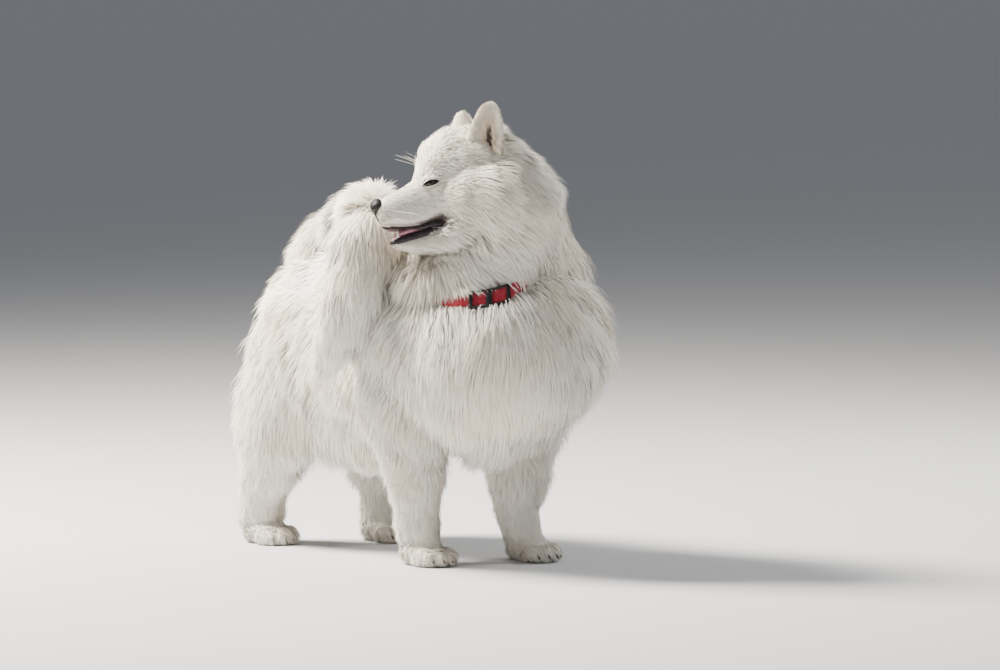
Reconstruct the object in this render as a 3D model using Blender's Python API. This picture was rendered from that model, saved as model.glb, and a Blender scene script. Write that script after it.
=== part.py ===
# A Samoyed dog, standing, life size, as a still museum model.
# Metres, +Z up. The dog heads along -Y, its left side is +X, and its feet stand on Z = 0.
# The coat is modelled as a core with overlapping tapered locks; the face and feet have short fur.
import math
import random

import bmesh
import bpy
from mathutils import Matrix, Vector
from mathutils.bvhtree import BVHTree

# Driving dimensions
GAP = 0.0003                      # clearance between neighbouring nodes
ORIGIN = Vector((-0.037, 0.122, 0.0))   # floor point below the middle of the whole dog
NOSE_TIP = Vector((-0.223, 0.0, 0.613))
HEAD_TURN = math.radians(118.0)   # how far the head looks to the dog's right of its heading
HEAD_DIP = math.radians(14.0)     # how far the muzzle points below level
HEAD_ROLL = math.radians(6.0)     # how far the crown leans to the head's right
STANCE = 0.09                     # half the distance between left and right feet
FORE_FOOT_Y = {-1: 0.030, 1: -0.032}    # by side: -1 is the dog's right
HIND_FOOT_Y = {-1: 0.468, 1: 0.362}
EYE_RADIUS = 0.0115
PLAIN = False
SEED = 11
ROOT_DEPTH = 0.014                # how far a lock's root is sunk into the core
LOCK_RIDGE = 0.009                # how far a lock's middle stands over its edges, halved

# Where the coat lies which way: place (mirrored to both sides), comb direction,
# lock length, rise of the tips over the core, lock half width, spacing of the roots
COAT_GUIDES = [
    ((0.00, 0.06, 0.570), (0.00, 1.00, -0.05), 0.105, 0.032, 0.030, 0.066),
    ((0.00, 0.25, 0.545), (0.00, 1.00, -0.08), 0.100, 0.028, 0.030, 0.068),
    ((0.00, 0.42, 0.530), (0.00, 0.80, -0.60), 0.095, 0.032, 0.028, 0.062),
    ((0.00, 0.47, 0.440), (0.00, 0.40, -0.90), 0.105, 0.036, 0.028, 0.060),
    ((0.13, 0.20, 0.470), (0.10, 0.75, -0.65), 0.100, 0.034, 0.030, 0.064),
    ((0.13, 0.22, 0.330), (0.05, 0.60, -0.80), 0.100, 0.036, 0.030, 0.062),
    ((0.00, 0.20, 0.190), (0.00, 0.50, -0.85), 0.110, 0.040, 0.030, 0.060),
    ((0.10, 0.25, 0.220), (0.05, 0.50, -0.85), 0.105, 0.040, 0.030, 0.060),
    ((0.15, 0.02, 0.450), (0.20, 0.40, -0.90), 0.115, 0.042, 0.030, 0.062),
    ((0.15, 0.00, 0.330), (0.15, 0.15, -0.95), 0.115, 0.046, 0.029, 0.058),
    ((0.15, -0.08, 0.290), (0.20, 0.05, -0.95), 0.115, 0.048, 0.029, 0.058),
    ((0.00, -0.21, 0.370), (0.00, -0.25, -0.97), 0.115, 0.044, 0.029, 0.060),
    ((0.12, -0.13, 0.380), (0.35, -0.10, -0.93), 0.115, 0.044, 0.029, 0.060),
    ((0.00, -0.10, 0.225), (0.00, 0.45, -0.90), 0.110, 0.052, 0.028, 0.058),
    ((0.13, -0.04, 0.520), (0.25, 0.30, -0.92), 0.115, 0.042, 0.029, 0.060),
    ((0.00, -0.17, 0.500), (0.00, -0.20, -0.98), 0.110, 0.042, 0.028, 0.058),
    ((0.02, 0.05, 0.600), (0.05, 0.80, -0.60), 0.110, 0.036, 0.029, 0.062),
    ((0.12, 0.38, 0.400), (0.15, 0.45, -0.88), 0.105, 0.036, 0.028, 0.060),
    ((0.09, 0.43, 0.300), (0.00, 0.45, -0.90), 0.105, 0.036, 0.026, 0.056),
    ((0.12, 0.36, 0.260), (0.10, 0.35, -0.93), 0.085, 0.028, 0.024, 0.054),
    ((0.12, 0.03, 0.240), (0.15, 0.10, -0.96), 0.090, 0.036, 0.024, 0.054),
    ((0.10, 0.03, 0.130), (0.05, 0.20, -0.98), 0.052, 0.016, 0.018, 0.046),
    ((0.10, 0.44, 0.150), (0.05, 0.30, -0.95), 0.058, 0.018, 0.018, 0.046),
    ((0.10, 0.34, 0.150), (0.05, 0.30, -0.95), 0.058, 0.018, 0.018, 0.046),
]
HEAD_GUIDES = [                   # the same in head coordinates: forward, up, left
    ((-0.190, -0.010, 0.080), (-0.75, -0.60, 0.25), 0.085, 0.030, 0.024, 0.056),
    ((-0.255, 0.030, 0.040), (-0.80, -0.55, 0.20), 0.090, 0.030, 0.026, 0.058),
    ((-0.290, -0.030, 0.030), (-0.45, -0.85, 0.20), 0.100, 0.034, 0.027, 0.060),
    ((-0.190, -0.085, 0.055), (-0.40, -0.90, 0.15), 0.090, 0.034, 0.026, 0.058),
    ((-0.150, -0.110, 0.010), (-0.25, -0.95, 0.00), 0.090, 0.034, 0.026, 0.058),
]
SPREAD = 1.16                     # widens the spacing of the roots all over
TAIL_LOCK = (0.135, 0.045, 0.028, 0.056)   # length, rise, half width, spacing of the tail's locks

# Fur depth added to the flesh stations while the coat is plain, one value per body part
BODY_VOXEL = 0.009
HEAD_VOXEL = 0.0032

# Torso: Y, top Z, bottom Z, half width, rise of the coat tips over the core
TORSO = [
    (-0.232, 0.385, 0.320, 0.040, 0.030),
    (-0.205, 0.430, 0.280, 0.085, 0.038),
    (-0.160, 0.490, 0.250, 0.125, 0.042),
    (-0.100, 0.540, 0.224, 0.155, 0.044),
    (-0.030, 0.565, 0.210, 0.165, 0.044),
    (0.050, 0.568, 0.200, 0.160, 0.042),
    (0.130, 0.556, 0.192, 0.140, 0.038),
    (0.220, 0.545, 0.188, 0.136, 0.036),
    (0.300, 0.540, 0.196, 0.132, 0.036),
    (0.370, 0.540, 0.238, 0.124, 0.036),
    (0.420, 0.528, 0.312, 0.108, 0.036),
    (0.455, 0.500, 0.378, 0.080, 0.036),
    (0.470, 0.475, 0.420, 0.050, 0.030),
]

# Neck: centre, half width, half depth, rise
NECK = [
    (0.000, -0.020, 0.460, 0.152, 0.158, 0.042),
    (-0.003, -0.055, 0.530, 0.131, 0.133, 0.041),
    (-0.012, -0.080, 0.590, 0.104, 0.107, 0.035),
    (-0.028, -0.104, 0.640, 0.090, 0.092, 0.031),
    (-0.036, -0.112, 0.685, 0.066, 0.070, 0.026),
]

# Skull and muzzle in head coordinates: forward, up, half height, half width
SKULL = [
    (-0.004, -0.014, 0.014, 0.015),
    (-0.014, -0.014, 0.021, 0.023),
    (-0.035, -0.014, 0.029, 0.030),
    (-0.060, -0.012, 0.034, 0.034),
    (-0.082, -0.008, 0.038, 0.038),
    (-0.097, 0.000, 0.046, 0.041),
    (-0.112, 0.009, 0.057, 0.048),
    (-0.128, 0.016, 0.066, 0.060),
    (-0.148, 0.019, 0.073, 0.071),
    (-0.172, 0.019, 0.077, 0.079),
    (-0.200, 0.014, 0.074, 0.080),
    (-0.230, 0.002, 0.064, 0.074),
    (-0.258, -0.014, 0.052, 0.062),
    (-0.278, -0.030, 0.034, 0.044),
]
JAW = [
    (-0.018, -0.0655, 0.0055, 0.009),
    (-0.026, -0.0690, 0.0105, 0.014),
    (-0.045, -0.0730, 0.0155, 0.019),
    (-0.070, -0.0740, 0.0190, 0.025),
    (-0.095, -0.0740, 0.0220, 0.034),
    (-0.120, -0.0690, 0.0290, 0.046),
    (-0.150, -0.0550, 0.0420, 0.058),
]
CHEEK = [
    (-0.120, -0.012, 0.030, 0.040, 0.022),
    (-0.150, -0.020, 0.048, 0.050, 0.036),
    (-0.185, -0.030, 0.060, 0.058, 0.046),
    (-0.215, -0.040, 0.062, 0.056, 0.046),
]

# Legs: offset from the foot along Y, Z, distance of the centre from the middle plane, half width, half depth, rise
FORELEG = {
    -1: [
        (-0.012, 0.012, 0.090, 0.030, 0.038, 0.006),
        (0.000, 0.045, 0.090, 0.031, 0.036, 0.008),
        (0.006, 0.090, 0.092, 0.033, 0.034, 0.012),
        (0.006, 0.140, 0.095, 0.037, 0.040, 0.015),
        (0.008, 0.200, 0.100, 0.044, 0.050, 0.018),
        (0.014, 0.265, 0.103, 0.054, 0.066, 0.020),
        (0.018, 0.330, 0.098, 0.058, 0.080, 0.020),
    ],
    1: [
        (-0.012, 0.012, 0.090, 0.030, 0.038, 0.006),
        (0.000, 0.045, 0.090, 0.031, 0.036, 0.008),
        (0.006, 0.090, 0.093, 0.034, 0.035, 0.012),
        (0.006, 0.140, 0.099, 0.040, 0.042, 0.015),
        (0.008, 0.200, 0.109, 0.052, 0.054, 0.018),
        (0.008, 0.265, 0.120, 0.068, 0.074, 0.020),
        (0.008, 0.330, 0.114, 0.076, 0.088, 0.020),
    ],
}
HINDLEG = {
    -1: [
        (-0.010, 0.012, 0.090, 0.029, 0.038, 0.006),
        (0.004, 0.045, 0.090, 0.029, 0.034, 0.008),
        (-0.006, 0.090, 0.090, 0.028, 0.032, 0.012),
        (-0.024, 0.145, 0.090, 0.030, 0.048, 0.018),
        (-0.038, 0.200, 0.094, 0.030, 0.056, 0.022),
        (-0.068, 0.270, 0.096, 0.036, 0.066, 0.028),
        (-0.106, 0.340, 0.092, 0.042, 0.080, 0.030),
        (-0.128, 0.420, 0.078, 0.048, 0.086, 0.030),
    ],
    1: [
        (-0.010, 0.012, 0.090, 0.029, 0.038, 0.006),
        (0.002, 0.045, 0.090, 0.029, 0.034, 0.008),
        (0.004, 0.090, 0.090, 0.027, 0.030, 0.011),
        (0.010, 0.145, 0.090, 0.027, 0.036, 0.014),
        (0.000, 0.200, 0.094, 0.030, 0.048, 0.020),
        (-0.010, 0.270, 0.096, 0.036, 0.066, 0.028),
        (-0.010, 0.340, 0.092, 0.042, 0.080, 0.030),
        (-0.022, 0.420, 0.078, 0.048, 0.086, 0.030),
    ],
}

# Tail: centre, half thickness, rise. It leaves the croup, lies forward on the back and falls down the right flank.
TAIL = [
    (0.000, 0.462, 0.455, 0.028, 0.020),
    (0.000, 0.440, 0.490, 0.036, 0.022),
    (-0.010, 0.385, 0.522, 0.041, 0.026),
    (-0.026, 0.320, 0.548, 0.044, 0.030),
    (-0.050, 0.245, 0.576, 0.046, 0.030),
    (-0.085, 0.170, 0.598, 0.048, 0.032),
    (-0.132, 0.103, 0.596, 0.050, 0.032),
    (-0.176, 0.064, 0.556, 0.051, 0.032),
    (-0.201, 0.055, 0.495, 0.050, 0.032),
    (-0.211, 0.068, 0.435, 0.044, 0.030),
    (-0.212, 0.100, 0.380, 0.029, 0.022),
    (-0.208, 0.132, 0.345, 0.012, 0.010),
]

# Colours of the coat, leather, mouth and collar
COAT = (0.86, 0.84, 0.78, 1.0)
EAR_COAT = (0.88, 0.83, 0.76, 1.0)
BLACK_SKIN = (0.035, 0.030, 0.032, 1.0)
EYE_BROWN = (0.045, 0.022, 0.014, 1.0)
TONGUE_PINK = (0.62, 0.26, 0.30, 1.0)
STRAP_RED = (0.55, 0.03, 0.06, 1.0)
BUCKLE_BLACK = (0.03, 0.03, 0.035, 1.0)


def head_axes():
    """Forward, up and left unit vectors of the head."""
    level = Vector((-math.sin(HEAD_TURN), -math.cos(HEAD_TURN), 0.0))
    up = Vector((0.0, 0.0, 1.0))
    forward = level * math.cos(HEAD_DIP) - up * math.sin(HEAD_DIP)
    crown = level * math.sin(HEAD_DIP) + up * math.cos(HEAD_DIP)
    left = crown.cross(forward).normalized()
    tilted = crown * math.cos(HEAD_ROLL) - left * math.sin(HEAD_ROLL)
    return forward, tilted, tilted.cross(forward).normalized()


FORWARD, CROWN, LEFTWARD = head_axes()
HEAD_FRAME = (FORWARD, CROWN, LEFTWARD)
WORLD = (Vector((1, 0, 0)), Vector((0, 1, 0)), Vector((0, 0, 1)))


def on_head(forward, up, left=0.0):
    """A point given in head coordinates, measured from the tip of the nose."""
    return NOSE_TIP + FORWARD * forward + CROWN * up + LEFTWARD * left


def finish_mesh(name, bm, colour, roughness=0.7):
    """Turn a bmesh into a named object with its own material."""
    bm.normal_update()
    bmesh.ops.recalc_face_normals(bm, faces=bm.faces)
    mesh = bpy.data.meshes.new(name)
    bm.to_mesh(mesh)
    bm.free()
    obj = bpy.data.objects.new(name, mesh)
    bpy.context.scene.collection.objects.link(obj)
    paint(obj, colour, roughness)
    return obj


def paint(obj, colour, roughness):
    """Give an object one Principled material of its own."""
    material = bpy.data.materials.new(obj.name)
    material.use_nodes = True
    shader = material.node_tree.nodes["Principled BSDF"]
    shader.inputs["Base Color"].default_value = colour
    shader.inputs["Roughness"].default_value = roughness
    shader.inputs["Metallic"].default_value = 0.0
    obj.data.materials.clear()
    obj.data.materials.append(material)


def settle(obj):
    """Apply every modifier of an object."""
    bpy.context.view_layer.update()
    graph = bpy.context.evaluated_depsgraph_get()
    mesh = bpy.data.meshes.new_from_object(obj.evaluated_get(graph))
    obj.modifiers.clear()
    old = obj.data
    obj.data = mesh
    bpy.data.meshes.remove(old)
    return obj


def add_loft(bm, stations, side, sides=20, power=2.0, closed_loop=False):
    """Skin a run of sections (centre, half across, half along the third axis) and cap its ends."""
    count = len(stations)
    rings = []
    for i, (centre, across, deep) in enumerate(stations):
        if closed_loop:
            ahead = stations[(i + 1) % count][0]
            behind = stations[i - 1][0]
        else:
            ahead = stations[min(i + 1, count - 1)][0]
            behind = stations[max(i - 1, 0)][0]
        along = (ahead - behind).normalized()
        reach = side(i) if callable(side) else side
        lateral = (reach - along * reach.dot(along)).normalized()
        third = along.cross(lateral)
        ring = []
        for k in range(sides):
            turn = 2 * math.pi * k / sides
            c, s = math.cos(turn), math.sin(turn)
            x = across * math.copysign(abs(c) ** (2 / power), c)
            y = deep * math.copysign(abs(s) ** (2 / power), s)
            ring.append(bm.verts.new(centre + lateral * x + third * y))
        rings.append(ring)
    last = count if closed_loop else count - 1
    for i in range(last):
        here, there = rings[i], rings[(i + 1) % count]
        for k in range(sides):
            n = (k + 1) % sides
            bm.faces.new((here[k], here[n], there[n], there[k]))
    if not closed_loop:
        bm.faces.new(rings[0][::-1])
        bm.faces.new(rings[-1])


def loft_object(name, stations, side, colour, **shape):
    """One lofted closed solid as an object."""
    bm = bmesh.new()
    add_loft(bm, stations, side, **shape)
    return finish_mesh(name, bm, colour)


def cutter(obj):
    """Mark a helper that isn't part of the dog."""
    obj.hide_render = True
    obj.display_type = "WIRE"
    return obj


def boolean(obj, tool, operation, solver="MANIFOLD"):
    """Join, cut or keep the common part with a helper, and apply it."""
    step = obj.modifiers.new(operation.lower(), "BOOLEAN")
    step.operation = operation
    step.object = tool
    step.solver = solver
    return settle(obj)


def grown(obj, by):
    """Push every vertex out along its normal."""
    bm = bmesh.new()
    bm.from_mesh(obj.data)
    bm.normal_update()
    places = [vert.co + vert.normal * by for vert in bm.verts]
    for vert, place in zip(bm.verts, places):
        vert.co = place
    bm.to_mesh(obj.data)
    bm.free()
    return obj


def union_of(obj, pieces, name):
    """Join closed pieces onto an object with one Boolean union, then remove them."""
    if not pieces:
        return obj
    group = bpy.data.collections.new(name)
    bpy.context.scene.collection.children.link(group)
    for piece in pieces:
        bpy.context.scene.collection.objects.unlink(piece)
        group.objects.link(piece)
    step = obj.modifiers.new("join", "BOOLEAN")
    step.operation = "UNION"
    step.operand_type = "COLLECTION"
    step.collection = group
    step.solver = "MANIFOLD"
    settle(obj)
    for piece in pieces:
        bpy.data.objects.remove(piece)
    bpy.data.collections.remove(group)
    return obj


def keep_largest(obj):
    """Drop all but the largest closed surface, which also fills sealed hollows."""
    bm = bmesh.new()
    bm.from_mesh(obj.data)
    left = set(bm.faces)
    shells = []
    while left:
        seed = left.pop()
        shell = {seed}
        front = [seed]
        while front:
            face = front.pop()
            for edge in face.edges:
                for other in edge.link_faces:
                    if other in left:
                        left.discard(other)
                        shell.add(other)
                        front.append(other)
        shells.append(shell)
    if len(shells) > 1:
        best = max(shells, key=lambda shell: sum(face.calc_area() for face in shell))
        spare = [face for shell in shells if shell is not best for face in shell]
        bmesh.ops.delete(bm, geom=spare, context="FACES")
    bmesh.ops.triangulate(bm, faces=bm.faces)
    bm.to_mesh(obj.data)
    bm.free()
    return obj


def fused(obj, voxel, smoothing, triangles):
    """Melt overlapping lofts into one smooth closed skin of about so many triangles."""
    remesh = obj.modifiers.new("fuse", "REMESH")
    remesh.mode = "VOXEL"
    remesh.voxel_size = voxel
    soften = obj.modifiers.new("soften", "SMOOTH")
    soften.factor = 0.5
    soften.iterations = smoothing
    settle(obj)
    split = obj.modifiers.new("split", "TRIANGULATE")
    split.min_vertices = 4
    settle(obj)
    thin = obj.modifiers.new("thin", "DECIMATE")
    thin.ratio = min(1.0, triangles / len(obj.data.polygons))
    return settle(obj)


def all_guides():
    """Every guide on both sides, in the dog's own directions."""
    guides = []
    for spot, along, *numbers in COAT_GUIDES:
        for side in ((1, -1) if spot[0] > 0.005 else (1,)):
            at = Vector((spot[0] * side, spot[1], spot[2]))
            guides.append((at, Vector((along[0] * side, along[1], along[2])), numbers))
    for spot, along, *numbers in HEAD_GUIDES:
        for side in (1, -1):
            lie = FORWARD * along[0] + CROWN * along[1] + LEFTWARD * along[2] * side
            guides.append((on_head(spot[0], spot[1], spot[2] * side), lie, numbers))
    return guides


def comb(place, normal, guides=all_guides()):
    """The coat's lie at a place on the body, blended from the guides near it."""
    total = 0.0
    lie = Vector((0.0, 0.0, 0.0))
    sizes = [0.0] * 4
    for at, along, numbers in guides:
        weight = 1.0 / ((place - at).length_squared + 0.0004) ** 2
        lie += along * weight
        sizes = [size + number * weight for size, number in zip(sizes, numbers)]
        total += weight
    return lie / total, [size / total for size in sizes]


def tail_comb(place, normal):
    """The tail's hair runs along it, then falls outwards and down."""
    best, along = min(
        ((place - Vector(a[:3])).length_squared, Vector(b[:3]) - Vector(a[:3]))
        for a, b in zip(TAIL, TAIL[1:])
    )
    lie = along.normalized() + normal * 0.2 + Vector((0.0, 0.0, -0.35))
    return lie, list(TAIL_LOCK)


def turned(vector, axis, angle):
    """A vector turned about an axis."""
    return Matrix.Rotation(angle, 3, axis) @ vector


def make_lock(tree, root, normal, lie, sizes, dice):
    """One flat tapered lock that leaves the skin, bends over and follows the body."""
    length, rise, half_wide, spacing = sizes
    length *= dice.uniform(0.85, 1.20)
    rise *= dice.uniform(0.80, 1.15)
    half_wide *= dice.uniform(0.85, 1.15)
    swing = dice.uniform(-0.26, 0.26)
    shares = (0.0, 0.45, 0.80, 1.0)
    heights = (-ROOT_DEPTH, 0.50 * rise, 0.80 * rise, 0.84 * rise)
    points = []
    place, up = root, normal
    for i, share in enumerate(shares):
        if i:
            step = turned(lie, up, swing)
            step = step - up * step.dot(up)
            if step.length < 0.2:
                return None
            place = place + step.normalized() * length * (share - shares[i - 1])
            near, up, face, gap = tree.find_nearest(place)
            place = near
        points.append(place + up * heights[i])
    widths = (0.80, 1.00, 0.55)
    bm = bmesh.new()
    rings = []
    for i in range(3):
        along = (points[i + 1] - points[max(i - 1, 0)]).normalized()
        across = along.cross(up).normalized()
        outward = across.cross(along)
        wide, high = half_wide * widths[i], LOCK_RIDGE * widths[i]
        corners = (across * wide - outward * high, outward * high, -across * wide - outward * high)
        rings.append([bm.verts.new(points[i] + corner) for corner in corners])
    tip = bm.verts.new(points[3])
    for here, there in zip(rings, rings[1:]):
        for k in range(3):
            n = (k + 1) % 3
            bm.faces.new((here[k], here[n], there[n], there[k]))
    for k in range(3):
        bm.faces.new((rings[2][k], rings[2][(k + 1) % 3], tip))
    bm.faces.new(rings[0][::-1])
    return finish_mesh("lock", bm, COAT)


def dress(core, field, bare, seed):
    """Set locks all over a core, evenly but not in rows, and join them on with one union."""
    dice = random.Random(seed)
    mesh = core.data
    mesh.calc_loop_triangles()
    triangles = [tuple(mesh.vertices[i].co.copy() for i in tri.vertices) for tri in mesh.loop_triangles]
    areas = [(b - a).cross(c - a).length / 2 for a, b, c in triangles]
    tree = BVHTree.FromPolygons([v.co for v in mesh.vertices], [tuple(p.vertices) for p in mesh.polygons])
    roots = []
    locks = []
    for a, b, c in dice.choices(triangles, weights=areas, k=9000):
        first, second = sorted((dice.random(), dice.random()))
        place = a * first + b * (second - first) + c * (1 - second)
        near, normal, face, gap = tree.find_nearest(place)
        if bare(place):
            continue
        lie, sizes = field(place, normal)
        if any((place - other).length < sizes[3] * SPREAD for other in roots):
            continue
        roots.append(place)
        lock = make_lock(tree, place, normal, lie, sizes, dice)
        if lock:
            locks.append(lock)
    print("locks", core.name, len(locks))
    union_of(core, locks, "locks")
    return keep_largest(core)


def head_place(place):
    """A place in head coordinates: forward, up, left."""
    offset = place - NOSE_TIP
    return offset.dot(FORWARD), offset.dot(CROWN), offset.dot(LEFTWARD)


def short_coat(place):
    """Face, skull, ears and feet carry no long locks."""
    if place.z < 0.10:
        return True
    forward, up, left = head_place(place)
    if forward > -0.172 and up > -0.105 and abs(left) < 0.14:
        return True
    return up > 0.055 and forward > -0.225 and abs(left) < 0.14


def leg_stations(rows, foot_y, side):
    """Sections of one leg from its foot up, with the foot's reach fading towards the body."""
    spare = rows[0][5]
    made = []
    for along, z, out, across, deep, rise in rows:
        grow = rise if PLAIN else spare
        made.append((Vector((side * out, foot_y + along, z)), across + grow, deep + grow))
    return made


def foreleg_rows(side):
    """The foreleg's rows with the elbow kept below the withers whatever the foot does."""
    top = FORELEG[side][-1][1]
    rows = []
    for along, z, out, across, deep, rise in FORELEG[side]:
        back = -FORE_FOOT_Y[side] * z / top + 0.03 * z / top
        rows.append((along + back, z, out, across, deep, rise))
    return rows


def body_core():
    """Torso, neck and legs as one smooth skin."""
    bm = bmesh.new()
    lateral = Vector((1.0, 0.0, 0.0))
    torso = []
    for y, top, bottom, wide, rise in TORSO:
        grow = rise if PLAIN else 0.0
        torso.append((Vector((0.0, y, (top + bottom) / 2)), wide + grow, (top - bottom) / 2 + grow))
    add_loft(bm, torso, lateral, sides=24, power=2.2)
    neck = []
    for x, y, z, wide, deep, rise in NECK:
        grow = rise if PLAIN else 0.0
        neck.append((Vector((x, y, z)), wide + grow, deep + grow))
    add_loft(bm, neck, lateral, sides=24)
    for side in (-1, 1):
        fore = leg_stations(foreleg_rows(side), FORE_FOOT_Y[side], side)
        add_loft(bm, fore, lateral, sides=16, power=2.3)
        hind = leg_stations(HINDLEG[side], HIND_FOOT_Y[side], side)
        add_loft(bm, hind, lateral, sides=16, power=2.3)
    core = finish_mesh("core", bm, COAT)
    return fused(core, BODY_VOXEL, 6, 1900)


def paw_solid(foot_y, side):
    """A long oval furry foot with four toes, set on the floor."""
    bm = bmesh.new()
    centre = Vector((side * STANCE, foot_y - 0.018, 0.018))
    parts = [(Vector((0.0, 0.012, 0.006)), (0.034, 0.040, 0.028))]
    for k, across in enumerate((-0.024, -0.009, 0.009, 0.024)):
        ahead = -0.030 if k in (1, 2) else -0.018
        parts.append((Vector((across, ahead, -0.002)), (0.0125, 0.026, 0.019)))
    for offset, size in parts:
        matrix = Matrix.Translation(centre + offset) @ Matrix.Diagonal((*size, 1.0))
        bmesh.ops.create_icosphere(bm, subdivisions=3, radius=1.0, matrix=matrix)
    paw = finish_mesh("paw", bm, COAT)
    return fused(paw, 0.004, 2, 230)


def head_core():
    """Skull, muzzle, lower jaw and cheeks as one smooth skin."""
    bm = bmesh.new()
    skull = [(on_head(f, u), wide, high) for f, u, high, wide in SKULL]
    add_loft(bm, skull, LEFTWARD, sides=24, power=2.25)
    jaw = [(on_head(f, u), wide, high) for f, u, high, wide in JAW]
    add_loft(bm, jaw, LEFTWARD, sides=20, power=2.2)
    for side in (-1, 1):
        cheek = [(on_head(f, u, side * left), wide, high) for f, u, left, high, wide in CHEEK]
        add_loft(bm, cheek, LEFTWARD, sides=16)
    core = finish_mesh("head_core", bm, COAT)
    return fused(core, HEAD_VOXEL, 4, 1900)


def tail_core():
    """The tail's own smooth skin."""
    stations = []
    for x, y, z, half, rise in TAIL:
        grow = rise if PLAIN else 0.0
        stations.append((Vector((x, y, z)), half + grow, (half + grow) * 0.85))
    bm = bmesh.new()
    add_loft(bm, stations, Vector((1.0, 0.25, 0.15)), sides=20)
    core = finish_mesh("tail", bm, COAT)
    return fused(core, BODY_VOXEL, 4, 420)


# How far, and which way, the tail's room opens away from the body, for each tail station
TAIL_OPEN = [
    (0.030, (0, 0.3, 1)), (0.040, (0, 0.2, 1)), (0.045, (0, 0, 1)), (0.045, (0, 0, 1)),
    (0.045, (-0.1, 0, 1)), (0.040, (-0.3, 0.2, 1)), (0.030, (-0.6, 0.4, 0.8)),
    (0.030, (-1, 0.3, 0.3)), (0.040, (-1, 0.1, 0)), (0.040, (-1, 0, 0)), (0.040, (-1, 0, -0.2)), (0.035, (-1, 0, -0.3)),
]


def tail_bed():
    """The room of the tail and its coat: close on the body's side, wide open on the outer side."""
    stations = []
    for (x, y, z, half, rise), (open_by, way) in zip(TAIL, TAIL_OPEN):
        reach = half + rise + open_by
        centre = Vector((x, y, z)) + Vector(way).normalized() * open_by
        stations.append((centre, reach + 0.004, reach * 0.92 + 0.002))
    ahead = stations[-1][0] + (stations[-1][0] - stations[-2][0])
    stations.append((ahead, 0.030, 0.030))
    bm = bmesh.new()
    add_loft(bm, stations, Vector((1.0, 0.25, 0.15)), sides=20)
    return cutter(finish_mesh("tail_bed", bm, COAT))


def block(name, axes, centre, low, high, grow=0.0):
    """A box cutter along three axes, between two corners given from a centre."""
    bm = bmesh.new()
    bmesh.ops.create_cube(bm, size=1.0)
    size = [high[i] - low[i] + 2 * grow for i in range(3)]
    middle = [(high[i] + low[i]) / 2 for i in range(3)]
    for vert in bm.verts:
        place = centre.copy()
        for i in range(3):
            place += axes[i] * (vert.co[i] * size[i] + middle[i])
        vert.co = place
    return cutter(finish_mesh(name, bm, COAT))


def head_block(grow):
    """The room of the head, in front of the nape and above the throat."""
    return block("head_block", HEAD_FRAME, NOSE_TIP, (-0.190, -0.115, -0.20), (0.08, 0.25, 0.20), grow)


def jaw_block(grow):
    """The room of the lower jaw, below the line of the mouth."""
    return block("jaw_block", HEAD_FRAME, NOSE_TIP, (-0.108, -0.112, -0.06), (0.03, -0.052, 0.06), grow)


def leg_block(side, foot_y, top, back, front, grow):
    """The room of one leg below its joint with the body."""
    low = (min(side * 0.012, side * 0.30), foot_y - front, -0.05)
    high = (max(side * 0.012, side * 0.30), foot_y + back, top)
    return block("leg_block", WORLD, Vector((0, 0, 0)), low, high, grow)


def paw_block(side, foot_y, grow):
    """The room of one foot."""
    low = (min(side * 0.012, side * 0.20), foot_y - 0.09, -0.05)
    high = (max(side * 0.012, side * 0.20), foot_y + 0.09, 0.052)
    return block("paw_block", WORLD, Vector((0, 0, 0)), low, high, grow)


def neck_block(grow):
    """The room of the neck, from the middle of the collar up to the head."""
    lean = COLLAR_LEAN
    axis = Vector((lean * math.cos(COLLAR_LOW_SIDE), lean * math.sin(COLLAR_LOW_SIDE), 1.0)).normalized()
    lateral = (WORLD[0] - axis * axis.x).normalized()
    frame = (lateral, axis.cross(lateral), axis)
    return block("neck_block", frame, COLLAR_CENTRE, (-0.30, -0.30, 0.0), (0.30, 0.17, 0.40), grow)


def copy_of(obj, name):
    """A separate copy under a new name."""
    twin = obj.copy()
    twin.data = obj.data.copy()
    twin.name = name
    twin.data.name = name
    bpy.context.scene.collection.objects.link(twin)
    return twin


def take(whole, name, room, without=()):
    """One node: the part of the whole inside a room and outside the rooms already taken."""
    node = copy_of(whole, name)
    if room is not None:
        boolean(node, room, "INTERSECT")
    for other in without:
        boolean(node, other, "DIFFERENCE")
    keep_largest(node)
    paint(node, COAT, 0.85)
    return node


def drop(*helpers):
    """Remove helpers."""
    for helper in helpers:
        bpy.data.objects.remove(helper)


def ellipsoid(name, centre, axes, size, colour, grow=0.0, detail=3, roughness=0.5):
    """A rounded solid along three axes."""
    bm = bmesh.new()
    bmesh.ops.create_icosphere(bm, subdivisions=detail, radius=1.0)
    for vert in bm.verts:
        place = centre.copy()
        for i in range(3):
            place += axes[i] * vert.co[i] * (size[i] + grow)
        vert.co = place
    return finish_mesh(name, bm, colour, roughness)


# Eyes, with lids that leave an almond opening
EYE_SPOT = (-0.1080, 0.0155, 0.0350)
EYE_AIM = math.radians(56.0)      # from straight ahead towards the side
EYE_SLANT = math.radians(14.0)
LID_THICKNESS = 0.0022
ALMOND_LONG, ALMOND_HIGH = 0.0115, 0.0062


def eye_frame(side):
    """Outward, along-the-lids and upward unit vectors of one eye."""
    outward = FORWARD * math.cos(EYE_AIM) + LEFTWARD * side * math.sin(EYE_AIM)
    corner = (-FORWARD * math.sin(EYE_AIM) + LEFTWARD * side * math.cos(EYE_AIM))
    along = corner * math.cos(EYE_SLANT) + CROWN * math.sin(EYE_SLANT)
    return outward.normalized(), along.normalized(), outward.cross(along).normalized() * side


def eye_centre(side):
    f, u, left = EYE_SPOT
    return on_head(f, u, side * left)


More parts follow.
